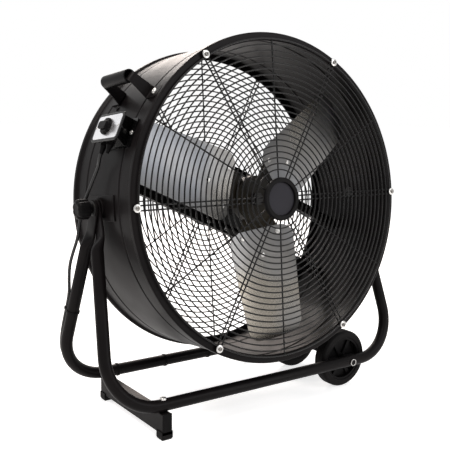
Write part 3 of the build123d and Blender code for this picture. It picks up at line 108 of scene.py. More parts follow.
@dataclass(frozen=True)
class DrumPlace:
    """Where the tilted drum stands."""

    pivot_height: float = 0.427
    tilt: float = 5.8

    def front(self) -> Matrix:
        """Place with x to the right, y up and z out of the drum's front."""
        return leaning(self.pivot_height, math.radians(self.tilt))

    def rear(self) -> Matrix:
        """The same place seen from behind, with z out of the drum's rear."""
        return self.front() @ turned(180, "Y")

    def outward(self, angle: float, radius: float, front: float) -> Matrix:
        """Place on the drum whose z leaves the wall.

        Args:
            angle: degrees round the drum, from the right and anticlockwise seen from the front.
            radius: distance from the drum's axis.
            front: distance in front of the pivot.

        Returns:
            The place, with x to the rear and y round the drum.
        """
        return self.front() @ turned(angle, "Z") @ moved(radius, 0, front) @ turned(90, "Y")


DRUM = DrumPlace()


# ---- outlines -------------------------------------------------------------------------------------
def rounded(points: Sequence[Pair], radius: float, steps: int = 4, closed: bool = False) -> Outline:
    """Outline with its corners rounded.

    Args:
        points: the sharp corners in order.
        radius: largest corner radius; short sides get a smaller one.
        steps: pieces in each corner's arc.
        closed: whether the last point joins the first.

    Returns:
        The outline with arcs at its corners.
    """
    smooth: Outline = []
    last = len(points) - 1
    for k, here in enumerate(points):
        if not closed and k in (0, last):
            smooth.append(tuple(here))
            continue
        corner = Vector(here)
        back = Vector(points[k - 1]) - corner
        ahead = Vector(points[(k + 1) % len(points)]) - corner
        half = back.angle(ahead) / 2
        reach = min(radius / math.tan(half), SIDE_SHARE * back.length, SIDE_SHARE * ahead.length)
        bend = reach * math.tan(half)
        centre = corner + (back.normalized() + ahead.normalized()).normalized() * (bend / math.sin(half))
        start = corner + back.normalized() * reach - centre
        stop = corner + ahead.normalized() * reach - centre
        sweep = math.atan2(start.x * stop.y - start.y * stop.x, start.dot(stop))
        for step in range(steps + 1):
            arm = start.copy()
            arm.rotate(Matrix.Rotation(sweep * step / steps, 2))
            smooth.append(tuple(centre + arm))
    return smooth


def inset(points: Sequence[Pair], distance: float) -> Outline:
    """Open outline shifted to its right-hand side.

    Args:
        points: the outline.
        distance: how far it moves, square to itself.

    Returns:
        The shifted outline.
    """
    shifted: Outline = []
    for k, here in enumerate(points):
        before = Vector(points[max(k - 1, 0)])
        after = Vector(points[min(k + 1, len(points) - 1)])
        along = (after - before).normalized()
        shifted.append((here[0] + along.y * distance, here[1] - along.x * distance))
    return shifted


def rectangle(width: float, height: float, radius: float, steps: int = 4) -> Outline:
    """Closed rectangle about the origin with rounded corners."""
    x, y = width / 2, height / 2
    return rounded([(-x, -y), (x, -y), (x, y), (-x, y)], radius, steps, closed=True)


def circle(steps: int) -> Outline:
    """Points of a circle of radius 1, anticlockwise from the right."""
    turns = [2 * math.pi * k / steps for k in range(steps)]
    return [(math.cos(turn), math.sin(turn)) for turn in turns]


# ---- shapes ---------------------------------------------------------------------------------------
def linked(name: str, data: bpy.types.ID) -> Shape:
    """Shows a mesh, curve, light or camera in the scene under a name."""
    shape = bpy.data.objects.new(name, data)
    bpy.context.scene.collection.objects.link(shape)
    return shape


def drawn(name: str, points: Sequence[Triple], kind: str) -> Shape:
    """Curve on a row of points.

    Args:
        name: name of the piece.
        points: its points in order.
        kind: "POLY" for straight runs, "NURBS" for a smooth curve that the points lead.

    Returns:
        The curve with no thickness.
    """
    line = bpy.data.curves.new(name, "CURVE")
    line.dimensions = "3D"
    run = line.splines.new(kind)
    run.points.add(len(points) - 1)
    for point, place in zip(run.points, points):
        point.co = (*place, 1.0)
    return linked(name, line)


def plain(shape: Shape) -> Shape:
    """Replaces a piece by the plain mesh that its modifiers give.

    Args:
        shape: a mesh or curve, with modifiers or without.

    Returns:
        A mesh piece of the same name with no modifiers.
    """
    bpy.context.view_layer.update()
    ready = shape.evaluated_get(bpy.context.evaluated_depsgraph_get())
    mesh = bpy.data.meshes.new_from_object(ready)
    name = shape.name
    bpy.data.objects.remove(shape)
    return linked(name, mesh)


def from_bmesh(
    name: str, work: bmesh.types.BMesh, place: Matrix | None = None, crease: float = 35.0
) -> Shape:
    """Turns loose geometry into a smooth piece with its faces outwards.

    Args:
        name: name of the piece.
        work: the geometry, freed here.
        place: where it goes.
        crease: angle in degrees above which an edge stays sharp.

    Returns:
        The piece.
    """
    bmesh.ops.recalc_face_normals(work, faces=work.faces)
    if place is not None:
        work.transform(place)
    mesh = bpy.data.meshes.new(name)
    work.to_mesh(mesh)
    work.free()
    mesh.shade_smooth()
    mesh.set_sharp_from_angle(angle=math.radians(crease))
    return linked(name, mesh)


def evened(shape: Shape) -> Shape:
    """Gives large flat faces flat shading beside their small rounded edges."""
    shape.modifiers.new("even", "WEIGHTED_NORMAL").keep_sharp = True
    return plain(shape)


def bevelled(shape: Shape, width: float, segments: int = 2, limit: float = 30.0) -> Shape:
    """Rounds a piece's sharp edges.

    Args:
        shape: the piece.
        width: size of the rounding.
        segments: pieces across each rounding.
        limit: angle in degrees above which an edge is rounded.

    Returns:
        The rounded piece.
    """
    bevel = shape.modifiers.new("bevel", "BEVEL")
    bevel.width = width
    bevel.segments = segments
    bevel.angle_limit = math.radians(limit)
    return evened(shape)


def stitch(work: bmesh.types.BMesh, low: list[Any], high: list[Any]) -> None:
    """Joins two closed rows of vertices, where a row may be a single point."""
    count = max(len(low), len(high))
    for k in range(count):
        after = k + 1
        corners = [low[k % len(low)], low[after % len(low)]]
        corners += [high[after % len(high)], high[k % len(high)]]
        work.faces.new(list(dict.fromkeys(corners)))


def skinned(
    name: str,
    rows: Sequence[Sequence[Triple]],
    place: Matrix | None = None,
    looped: bool = False,
    capped: bool = True,
    crease: float = 35.0,
) -> Shape:
    """Skin over rows of points.

    Args:
        name: name of the piece.
        rows: closed rows, each of the same count or of a single point.
        place: where the piece goes.
        looped: whether the last row joins the first.
        capped: whether open ends are closed by a face.
        crease: angle in degrees above which an edge stays sharp.

    Returns:
        The piece.
    """
    work = bmesh.new()
    made = [[work.verts.new(point) for point in row] for row in rows]
    for low, high in zip(made, made[1:]):
        stitch(work, low, high)
    if looped:
        stitch(work, made[-1], made[0])
    elif capped:
        for row in (made[0], made[-1]):
            if len(row) > 2:
                work.faces.new(row)
    return from_bmesh(name, work, place, crease)


def lathed(
    name: str,
    profile: Sequence[Pair],
    place: Matrix,
    steps: int = 96,
    looped: bool = False,
    crease: float = 35.0,
) -> Shape:
    """Round piece turned about its place's z.

    Args:
        name: name of the piece.
        profile: radius and height of each ring; a ring of no radius is a point.
        place: where the piece goes.
        steps: faces round it.
        looped: whether the last ring joins the first.
        crease: angle in degrees above which an edge stays sharp.

    Returns:
        The piece.
    """
    rows = []
    for radius, height in profile:
        ring = circle(steps) if radius > TINY else [(0.0, 0.0)]
        rows.append([(radius * x, radius * y, height) for x, y in ring])
    return skinned(name, rows, place, looped, True, crease)


def slab(
    name: str, outline: Sequence[Pair], low: float, high: float, place: Matrix, edge: float
) -> Shape:
    """Flat piece of even thickness with rounded edges.

    Args:
        name: name of the piece.
        outline: its closed outline in its place's x and y.
        low: height of its underside.
        high: height of its top.
        place: where it goes.
        edge: size of its edge rounding.

    Returns:
        The piece.
    """
    rows = [[(x, y, height) for x, y in outline] for height in (low, high)]
    return bevelled(skinned(name, rows, place, crease=50.0), edge)


def lobed(
    name: str, radius: Callable[[float], float], levels: Sequence[Pair], place: Matrix, steps: int = 72
) -> Shape:
    """Moulded grip whose outline changes round it.

    Args:
        name: name of the piece.
        radius: radius at a turn in radians.
        levels: height and share of the full outline at each level, from the bottom.
        place: where the grip goes.
        steps: faces round it.

    Returns:
        The piece.
    """
    turns = [2 * math.pi * k / steps for k in range(steps)]
    ring = [(radius(turn), x, y) for turn, (x, y) in zip(turns, circle(steps))]
    rows = []
    for height, share in levels:
        rows.append([(share * arm * x, share * arm * y, height) for arm, x, y in ring])
    return skinned(name, rows, place)


def refined(node: str, name: str, edge: float, segments: int = 2) -> Shape:
    """Copy of a CAD node with merged faces and rounded edges.

    Args:
        node: the CAD node.
        name: name of the new piece.
        edge: size of its edge rounding.
        segments: pieces across each rounding.

    Returns:
        The piece.
    """
    work = bmesh.new()
    work.from_mesh(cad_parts[node].data)
    bmesh.ops.remove_doubles(work, verts=work.verts, dist=SEAM)
    flat = math.radians(1.0)
    bmesh.ops.dissolve_limit(work, angle_limit=flat, verts=work.verts, edges=work.edges)
    return bevelled(from_bmesh(name, work), edge, segments)


# ---- node trees -----------------------------------------------------------------------------------
class Graph:
    """A node tree with a short call that adds and joins its nodes."""

    def __init__(self, tree: bpy.types.NodeTree) -> None:
        """Keeps the tree that the nodes go into."""
        self.tree = tree

    def add(self, kind: str, values: dict[Any, Any] | None = None, **settings: Any) -> bpy.types.Node:
        """Adds a node.

        Args:
            kind: the node's type name.
            values: input name or number, with a plain value or the socket that feeds it.
            settings: properties of the node.

        Returns:
            The node.
        """
        node = self.tree.nodes.new(kind)
        for name, value in settings.items():
            setattr(node, name, value)
        for key, value in (values or {}).items():
            if isinstance(value, bpy.types.NodeSocket):
                self.tree.links.new(value, node.inputs[key])
            else:
                node.inputs[key].default_value = value
        return node

    def worked(self, operation: str, *values: Any) -> bpy.types.NodeSocket:
        """Result of a math node on plain values or sockets."""
        return self.add("ShaderNodeMath", dict(enumerate(values)), operation=operation).outputs[0]


class GeometryTree(Graph):
    """A geometry tree with named inputs that ends in plain geometry with its material."""

    def __init__(self, name: str, inputs: dict[str, str]) -> None:
        """Makes the tree.

        Args:
            name: name of the tree.
            inputs: label and socket type of each input after the geometry.
        """
        super().__init__(bpy.data.node_groups.new(name, "GeometryNodeTree"))
        sockets = self.tree.interface
        sockets.new_socket("Geometry", in_out="INPUT", socket_type="NodeSocketGeometry")
        for label, kind in inputs.items():
            sockets.new_socket(label, in_out="INPUT", socket_type=kind)
        sockets.new_socket("Material", in_out="INPUT", socket_type="NodeSocketMaterial")
        sockets.new_socket("Geometry", in_out="OUTPUT", socket_type="NodeSocketGeometry")
        self.given = self.add("NodeGroupInput").outputs

    def by_index(self, step: bpy.types.NodeSocket, first: bpy.types.NodeSocket) -> bpy.types.NodeSocket:
        """A value that grows by a step from one point to the next."""
        place = self.add("GeometryNodeInputIndex").outputs[0]
        return self.worked("MULTIPLY_ADD", place, step, first)

    def wired(self, copies: bpy.types.NodeSocket) -> bpy.types.NodeSocket:
        """Makes copies of a curve real and gives them the tree's round wire."""
        curves = self.add("GeometryNodeRealizeInstances", {"Geometry": copies})
        size = {"Resolution": self.given["Wire Sides"], "Radius": self.given["Wire Radius"]}
        wire = self.add("GeometryNodeCurvePrimitiveCircle", size)
        ends = {"Curve": curves.outputs[0], "Profile Curve": wire.outputs[0], "Fill Caps": True}
        return self.add("GeometryNodeCurveToMesh", ends).outputs[0]

    def end(self, geometry: bpy.types.NodeSocket) -> None:
        """Closes the tree with smooth, real, dressed geometry."""
        smooth = self.add("GeometryNodeSetShadeSmooth", {"Geometry": geometry})
        real = self.add("GeometryNodeRealizeInstances", {"Geometry": smooth.outputs[0]})
        dressed = self.add(
            "GeometryNodeSetMaterial", {"Geometry": real.outputs[0], "Material": self.given["Material"]}
        )
        self.add("NodeGroupOutput", {"Geometry": dressed.outputs[0]})

    def run(self, shape: Shape, values: dict[str, Any]) -> Shape:
        """Puts the tree on a piece and makes the result plain.

        Args:
            shape: the piece that the tree starts from.
            values: value of each named input.

        Returns:
            The plain piece.
        """
        modifier = shape.modifiers.new(self.tree.name, "NODES")
        modifier.node_group = self.tree
        for item in self.tree.interface.items_tree:
            if item.in_out == "INPUT" and item.name in values:
                modifier[item.identifier] = values[item.name]
        return plain(shape)


def empty_mesh(name: str) -> Shape:
    """Piece with no geometry, for a tree that makes all of its own."""
    return linked(name, bpy.data.meshes.new(name))


def ring_tree() -> GeometryTree:
    """Tree that makes nested wire rings, each a little lower than the one inside it."""
    tree = GeometryTree(
        "nested_rings",
        {
            "Count": "NodeSocketInt",
            "First Radius": "NodeSocketFloat",
            "Pitch": "NodeSocketFloat",
            "First Place": "NodeSocketVector",
            "Step": "NodeSocketVector",
            "Wire Radius": "NodeSocketFloat",
            "Ring Sides": "NodeSocketInt",
            "Wire Sides": "NodeSocketInt",
        },
    )
    given = tree.given
    spots = tree.add(
        "GeometryNodeMeshLine",
        {"Count": given["Count"], "Start Location": given["First Place"], "Offset": given["Step"]},
    )
    size = tree.by_index(given["Pitch"], given["First Radius"])
    loop = {"Resolution": given["Ring Sides"], "Radius": 1.0}
    ring = tree.add("GeometryNodeCurvePrimitiveCircle", loop)
    nested = {"Points": spots.outputs[0], "Instance": ring.outputs[0], "Scale": size}
    rings = tree.add("GeometryNodeInstanceOnPoints", nested)
    tree.end(tree.wired(rings.outputs[0]))
    return tree


def turned_tree(name: str, wired: bool) -> GeometryTree:
    """Tree that repeats its own geometry round z.

    Args:
        name: name of the tree.
        wired: whether the geometry is a curve that becomes a round wire.

    Returns:
        The tree.
    """
    inputs = {"Count": "NodeSocketInt", "Start": "NodeSocketFloat", "Turn": "NodeSocketFloat"}
    if wired:
        inputs |= {"Wire Radius": "NodeSocketFloat", "Wire Sides": "NodeSocketInt"}
    tree = GeometryTree(name, inputs)
    given = tree.given
    spots = tree.add("GeometryNodeMeshLine", {"Count": given["Count"], "Offset": (0.0, 0.0, 0.0)})
    spin = tree.add("ShaderNodeCombineXYZ", {"Z": tree.by_index(given["Turn"], given["Start"])})
    copies = tree.add(
        "GeometryNodeInstanceOnPoints",
        {"Points": spots.outputs[0], "Instance": given["Geometry"], "Rotation": spin.outputs[0]},
    )
    tree.end(tree.wired(copies.outputs[0]) if wired else copies.outputs[0])
    return tree


def seated_tree() -> GeometryTree:
    """Tree that sets one fitting on every point, square to its facing and turned by chance."""
    tree = GeometryTree("seated_fittings", {"Fitting": "NodeSocketObject", "Seed": "NodeSocketInt"})
    given = tree.given
    fitting = tree.add("GeometryNodeObjectInfo", {"Object": given["Fitting"], "As Instance": True})
    facing = tree.add("GeometryNodeInputNamedAttribute", {"Name": "facing"}, data_type="FLOAT_VECTOR")
    upright = tree.add("FunctionNodeAlignRotationToVector", {"Vector": facing.outputs[0]}, axis="Z")
    chance = tree.add(
        "FunctionNodeRandomValue", {2: 0.0, 3: 2 * math.pi, "Seed": given["Seed"]}, data_type="FLOAT"
    )
    spin = tree.add("ShaderNodeCombineXYZ", {"Z": chance.outputs[1]})
    placed = tree.add(
        "FunctionNodeRotateRotation",
        {"Rotation": upright.outputs[0], "Rotate By": spin.outputs[0]},
        rotation_space="LOCAL",
    )
    copies = tree.add(
        "GeometryNodeInstanceOnPoints",
        {
            "Points": given["Geometry"],
            "Instance": fitting.outputs["Geometry"],
            "Rotation": placed.outputs[0],
        },
    )
    tree.end(copies.outputs[0])
    return tree


# ---- finishes -------------------------------------------------------------------------------------
@dataclass(frozen=True)
class Finish:
    """A surface with soft patches in its colour and gloss and a fine grain."""

    name: str
    slot: str
    colour: Triple
    second: Triple
    roughness: float
    swing: float = 0.05
    metal: float = 0.0
    specular: float = 0.5
    coat: float = 0.0
    patch: float = 14.0
    grain: float = 900.0
    grain_depth: float = 0.00006
    grain_strength: float = 0.25
    coat_roughness: float = 0.12
    colour_band: Pair = (0.36, 0.64)
    gloss_band: Pair = (0.3, 0.7)

    def pattern(self, graph: Graph) -> bpy.types.NodeSocket:
        """The coordinates that the fine grain follows."""
        return graph.add("ShaderNodeTexCoord").outputs["Object"]

    def material(self) -> bpy.types.Material:
        """Makes the material once and gives the same one later.

        Returns:
            The material.
        """
        known = bpy.data.materials.get(self.name)
        if known is not None:
            return known
        made = bpy.data.materials.new(self.name)
        made.use_nodes = True
        graph = Graph(made.node_tree)
        shader = made.node_tree.nodes["Principled BSDF"]
        shader.inputs["Metallic"].default_value = self.metal
        shader.inputs["Specular IOR Level"].default_value = self.specular
        shader.inputs["Coat Weight"].default_value = self.coat
        shader.inputs["Coat Roughness"].default_value = self.coat_roughness
        where = graph.add("ShaderNodeTexCoord").outputs["Object"]
        soft = {"Vector": where, "Scale": self.patch, "Detail": 2.0, "Roughness": 0.45}
        patches = graph.add("ShaderNodeTexNoise", soft)
        low, high = self.colour_band
        share = graph.add("ShaderNodeMapRange", {0: patches.outputs[0], 1: low, 2: high}).outputs[0]
        tints = {0: share, 6: (*self.colour, 1.0), 7: (*self.second, 1.0)}
        hue = graph.add("ShaderNodeMix", tints, data_type="RGBA")
        low, high = self.gloss_band
        band = {0: patches.outputs[0], 1: low, 2: high}
        band |= {3: self.roughness - self.swing, 4: self.roughness + self.swing}
        gloss = graph.add("ShaderNodeMapRange", band)
        fine = {"Vector": self.pattern(graph), "Scale": self.grain, "Detail": 2.0}
        speckle = graph.add("ShaderNodeTexNoise", fine)
        relief = {"Height": speckle.outputs[0], "Strength": self.grain_strength}
        bump = graph.add("ShaderNodeBump", relief | {"Distance": self.grain_depth})
        links = made.node_tree.links
        links.new(hue.outputs[2], shader.inputs["Base Color"])
        links.new(gloss.outputs[0], shader.inputs["Roughness"])
        links.new(bump.outputs[0], shader.inputs["Normal"])
        return made


@dataclass(frozen=True)
class BrushedFinish(Finish):
    """A surface whose grain is drawn out along the piece's own UV map."""

    stretch: Triple = (6.0, 420.0, 1.0)

    def pattern(self, graph: Graph) -> bpy.types.NodeSocket:
        """The piece's UV map drawn out along the rolling direction."""
        where = graph.add("ShaderNodeTexCoord").outputs["UV"]
        return graph.add("ShaderNodeMapping", {"Vector": where, "Scale": self.stretch}).outputs[0]


POWDER = Finish(
    "powder_coat", "black_steel", (0.0060, 0.0050, 0.0053), (0.0088, 0.0075, 0.0078), 0.42, 0.04,
    specular=0.045, coat=0.03,
)
WIRE_COAT = Finish(
    "wire_coat", "black_wire", (0.0042, 0.0040, 0.0042), (0.0072, 0.0068, 0.0068), 0.30, 0.05,
    specular=0.2,
)
ZINC = Finish(
    "zinc_plate", "plated_screws", (0.46, 0.45, 0.44), (0.62, 0.61, 0.59), 0.27, 0.06, metal=1.0,
    patch=120.0, grain_strength=0.06,
)
STEEL = Finish(
    "screw_steel", "plated_screws", (0.13, 0.125, 0.12), (0.22, 0.21, 0.20), 0.20, 0.05, metal=1.0,
    patch=120.0, grain_strength=0.05,
)
DARK_ZINC = Finish(
    "dark_zinc", "plated_screws", (0.020, 0.020, 0.021), (0.034, 0.033, 0.032), 0.42, 0.06,
    specular=0.2, patch=90.0,
)
MOULDED = Finish(
    "moulded_nylon", "moulded_black", (0.0050, 0.0047, 0.0051), (0.0082, 0.0077, 0.0081), 0.42,
    0.06, specular=0.05, grain=1600.0,
)
GLOSS_CAP = Finish(
    "gloss_moulding", "moulded_black", (0.0036, 0.0035, 0.0038), (0.0058, 0.0056, 0.0060), 0.22,
    0.04, specular=0.16,
)
CHARCOAL = Finish(
    "badge_charcoal", "moulded_black", (0.015, 0.014, 0.019), (0.019, 0.018, 0.024), 0.50, 0.03,
    specular=0.15,
)
RUBBER = Finish(
    "worn_rubber", "black_rubber", (0.0055, 0.0050, 0.0052), (0.0098, 0.0090, 0.0091), 0.64, 0.08,
    specular=0.08, grain=700.0, grain_depth=0.00012,
)
JACKET = Finish(
    "cord_jacket", "cord_rubber", (0.0090, 0.0086, 0.0088), (0.0140, 0.0134, 0.0136), 0.34, 0.05,
    specular=0.35,
)
BRASS = Finish("pin_brass", "plug_brass", (0.70, 0.52, 0.22), (0.78, 0.60, 0.30), 0.24, 0.06, metal=1.0)
HUB_STEEL = Finish(
    "hub_enamel", "hub_steel", (0.0075, 0.0072, 0.0074), (0.0260, 0.0205, 0.0125), 0.42, 0.07,
    specular=0.09, patch=9.0,
)
MOTOR_PAINT = Finish(
    "motor_enamel", "motor_paint", (0.0050, 0.0048, 0.0049), (0.0088, 0.0080, 0.0078), 0.42, 0.06,
    specular=0.09,
)
# Blade metal: the soft warm and blue-grey patches in its base colour are painted reflections of warm and
# cool surroundings, laid over the bare metal.
ALLOY = BrushedFinish(
    "rolled_alloy", "blade_metal", (0.215, 0.198, 0.172), (0.188, 0.194, 0.206), 0.28, 0.05,
    metal=1.0, patch=6.0, grain=1.0, grain_depth=0.0001, grain_strength=0.10,
)
PLATE = BrushedFinish(
    "brushed_plate", "plate_metal", (0.80, 0.80, 0.83), (0.88, 0.88, 0.90), 0.28, 0.04, metal=0.85,
    grain=1.0, grain_depth=0.00004, grain_strength=0.08, stretch=(40.0, 900.0, 1.0),
)


class Body(Enum):
    """The rigid bodies that pieces ride on."""

    STAND = "stand"
    DRUM = "drum"
    ROTOR = "rotor"
    SPEED_KNOB = "speed_knob"
    LEFT_CLAMP = "left_clamp"
    RIGHT_CLAMP = "right_clamp"
    FRONT_WHEEL = "front_wheel"
    REAR_WHEEL = "rear_wheel"


def dress(shape: Shape, finish: Finish) -> Shape:
    """Gives a piece its only material."""
    shape.data.materials.clear()
    shape.data.materials.append(finish.material())
    return shape


def seat(shape: Shape, body: Body, finish: Finish, *nodes: str) -> Shape:
    """Dresses a piece, sets it on its body and hides the solids that it stands for.

    Args:
        shape: the finished piece.
        body: the body it rides on.
        finish: its finish.
        nodes: the CAD nodes it replaces.

    Returns:
        The piece.
    """
    dress(shape, finish)
    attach(shape, body.value)
    if nodes:
        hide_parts(*nodes)
    LOG.info("%s rides on %s", shape.name, body.value)
    return shape


def keep(node: str, name: str, edge: float, body: Body, finish: Finish, segments: int = 2) -> Shape:
    """Seats a refined copy of a CAD node in the node's place.

    Args:
        node: the CAD node.
        name: name of the new piece.
        edge: size of its edge rounding.
        body: the body it rides on.
        finish: its finish.
        segments: pieces across each rounding.

    Returns:
        The piece.
    """
    return seat(refined(node, name, edge, segments), body, finish, node)


# ---- fittings -------------------------------------------------------------------------------------
@dataclass(frozen=True)
class Fitting:
    """A headed fastener seen from outside, with or without a cross recess."""

    head: float
    height: float
    recess: bool = True
    sides: int = 24
    sunk: float = 0.0006
    crown: tuple[Pair, ...] = ((1.0, 0.35), (0.93, 0.66), (0.76, 0.88), (0.5, 0.98))
    arm: Pair = (0.95, 0.22)
    arm_floor: float = 0.45
    arm_corner: float = 0.0002
    arm_edge: float = 0.00002

    def unit(self, name: str) -> Shape:
        """One fitting at the origin with its head along z.

        Args:
            name: name of the piece.

        Returns:
            The fitting as a plain mesh.
        """
        profile: Outline = [(0.0, -self.sunk), (self.head, -self.sunk)]
        profile += [(share * self.head, rise * self.height) for share, rise in self.crown]
        profile.append((0.0, self.height))
        button = lathed(name, profile, Matrix.Identity(4), self.sides, crease=50.0)
        if not self.recess:
            return button
        length, width = (share * self.head for share in self.arm)
        cross = rectangle(length, width, self.arm_corner, 1)
        low, high = self.arm_floor * self.height, 2 * self.height
        for turn in (0.0, 90.0):
            cutter = slab("cutter", cross, low, high, turned(turn, "Z"), self.arm_edge)
            cut = button.modifiers.new("cross", "BOOLEAN")
            cut.operation = "DIFFERENCE"
            cut.object = cutter
            button = plain(button)
            bpy.data.objects.remove(cutter)
        return button


def fasten(
    name: str,
    places: Sequence[Matrix],
    fitting: Fitting,
    finish: Finish,
    tree: GeometryTree,
    body: Body,
    *nodes: str,
) -> None:
    """Seats one piece with a fitting at each place.

    Args:
        name: name of the piece.
        places: places whose z leaves the surface.
        fitting: the fitting.
        finish: its finish.
        tree: the tree that seats fittings.
        body: the body it rides on.
        nodes: the CAD nodes it replaces.
    """
    spots = empty_mesh(name)
    spots.data.from_pydata([place.translation for place in places], [], [])
    facing = spots.data.attributes.new("facing", "FLOAT_VECTOR", "POINT")
    for item, place in zip(facing.data, places):
        item.vector = place.col[2].xyz
    unit = fitting.unit(f"{name}_unit")
    dress(unit, finish)
    made = tree.run(spots, {"Fitting": unit, "Seed": SEED, "Material": finish.material()})
    bpy.data.objects.remove(unit)
    seat(made, body, finish, *nodes)


@dataclass(frozen=True)
class Trees:
    """The geometry trees that the sub-assemblies share."""

    rings: GeometryTree
    wires: GeometryTree
    copies: GeometryTree
    fittings: GeometryTree


# ---- drum -----------------------------------------------------------------------------------------
@dataclass(frozen=True)
class DrumShell:
    """The rolled sheet drum with its two rims."""

    wall: float = 0.320
    rim: float = 0.325
    lip: float = 0.308
    front: float = 0.128
    rear: float = -0.119
    rim_depth: float = 0.010
    slope: float = 0.005
    sheet: float = 0.0012
    grooves: tuple[float, ...] = (0.073, -0.064)
    groove_depth: float = 0.0015
    groove_width: float = 0.008
    edge: float = 0.0028
    steps: int = 240

    def outline(self) -> Outline:
        """Outside of the shell from the front lip to the rear lip, as radius and height."""
        points = [(self.lip, self.front), (self.rim, self.front)]
        points.append((self.rim, self.front - self.rim_depth))
        points.append((self.wall, self.front - self.rim_depth - self.slope))
        for spot in self.grooves:
            points.append((self.wall, spot + self.groove_width / 2))
            points.append((self.wall - self.groove_depth, spot))
            points.append((self.wall, spot - self.groove_width / 2))
        points.append((self.wall, self.rear + self.rim_depth + self.slope))
        points += [(self.rim, self.rear + self.rim_depth), (self.rim, self.rear), (self.lip, self.rear)]
        return points

    def build(self) -> None:
        """Turns the wall and seats it."""
        outer = rounded(self.outline(), self.edge, 5)
        inner = inset(outer, self.sheet)
        loop = outer + inner[::-1]
        wall = lathed("drum_wall", loop, DRUM.front(), self.steps, looped=True, crease=60.0)
        seat(evened(wall), Body.DRUM, POWDER, "drum_shell")


@dataclass(frozen=True)
class WireGuard:
    """One guard: nested rings on six single spokes and six hairpin spokes."""

    name: str
    node: str
    screw_node: str
    rim: float
    wire: float = 0.0015
    ring_count: int = 23
    first_ring: float = 0.058
    pitch: float = 0.01153
    inner: float = 0.026
    screw_circle: float = 0.3155
    rise: float = 0.004
    seat_gap: float = 0.00015
    pair: float = 0.0045
    spokes: int = 6
    bend_steps: int = 8
    ring_sides: int = 144
    rod_end: float = 0.002
    washer: Fitting = Fitting(0.0075, 0.0012, recess=False)
    washer_gap: float = 0.0003
    screw: Fitting = Fitting(0.0042, 0.0032)
    screw_rise: float = 0.0011

    def base(self) -> float:
        """Height of a spoke's middle line where it meets the rim."""
        return self.rim + self.seat_gap + self.wire

    def spoke_height(self, radius: float) -> float:
        """Height of a spoke's middle line at a radius."""
        share = (self.screw_circle - radius) / (self.screw_circle - self.inner)
        return self.base() + self.rise * share

    def hairpin_points(self) -> list[Triple]:
        """Out along one wire, round the screw and back along the other."""
        points = [(self.inner, -self.pair, self.spoke_height(self.inner))]
        for step in range(self.bend_steps + 1):
            turn = math.pi * (step / self.bend_steps - 0.5)
            x = self.screw_circle + self.pair * math.cos(turn)
            points.append((x, self.pair * math.sin(turn), self.base()))
        points.append((self.inner, self.pair, self.spoke_height(self.inner)))
        return points

    def wires(self, trees: Trees, place: Matrix) -> Shape:
        """All of the guard's wires as one piece.

        Args:
            trees: the shared trees.
            place: the drum face that the guard is on.

        Returns:
            The joined wires.
        """
        gloss = WIRE_COAT.material()
        fall = self.pitch * self.rise / (self.screw_circle - self.inner)
        first = self.spoke_height(self.first_ring - 2 * self.wire) + 2 * self.wire
        rings = trees.rings.run(
            empty_mesh(self.name),
            {
                "Count": self.ring_count,
                "First Radius": self.first_ring,
                "Pitch": self.pitch,
                "First Place": (0.0, 0.0, first),
                "Step": (0.0, 0.0, -fall),
                "Wire Radius": self.wire,
                "Ring Sides": self.ring_sides,
                "Wire Sides": 8,
                "Material": gloss,
            },
        )
        sixth = 2 * math.pi / self.spokes
        shared = {"Count": self.spokes, "Turn": sixth, "Wire Radius": self.wire, "Wire Sides": 10}
        shared["Material"] = gloss
        pins = drawn(f"{self.name}_pins", self.hairpin_points(), "POLY")
        pins = trees.wires.run(pins, {"Start": 0.0} | shared)
        ends = [(self.inner, 0.0, self.spoke_height(self.inner))]
        ends.append((self.screw_circle - self.rod_end, 0.0, self.base()))
        rods = trees.wires.run(drawn(f"{self.name}_rods", ends, "POLY"), {"Start": sixth / 2} | shared)
        return joined([rings, pins, rods], place)

    def build(self, trees: Trees, place: Matrix) -> None:
        """Makes the wires and their screws and seats them.

        Args:
            trees: the shared trees.
            place: the drum face that the guard is on.
        """
        seat(self.wires(trees, place), Body.DRUM, WIRE_COAT, self.node)
        top = self.rim + self.seat_gap + 4 * self.wire + self.washer_gap
        turns = [360.0 * k / self.spokes for k in range(self.spokes)]
        spots = [place @ turned(turn, "Z") @ moved(self.screw_circle, 0, top) for turn in turns]
        tree, drum = trees.fittings, Body.DRUM
        fasten(f"{self.name}_washers", spots, self.washer, ZINC, tree, drum, self.screw_node)
        tops = [spot @ moved(z=self.screw_rise) for spot in spots]
        fasten(f"{self.name}_screws", tops, self.screw, STEEL, tree, drum)


def joined(shapes: Sequence[Shape], place: Matrix | None = None) -> Shape:
    """Joins plain pieces into the first one and sets it in its place.

    Args:
        shapes: the pieces.
        place: where the joined piece goes.

    Returns:
        The joined piece, named like the first.
    """
    name = shapes[0].name
    work = bmesh.new()
    for shape in shapes:
        work.from_mesh(shape.data)
        bpy.data.objects.remove(shape)
    if place is not None:
        work.transform(place)
    mesh = bpy.data.meshes.new(name)
    work.to_mesh(mesh)
    work.free()
    mesh.shade_smooth()
    return linked(name, mesh)


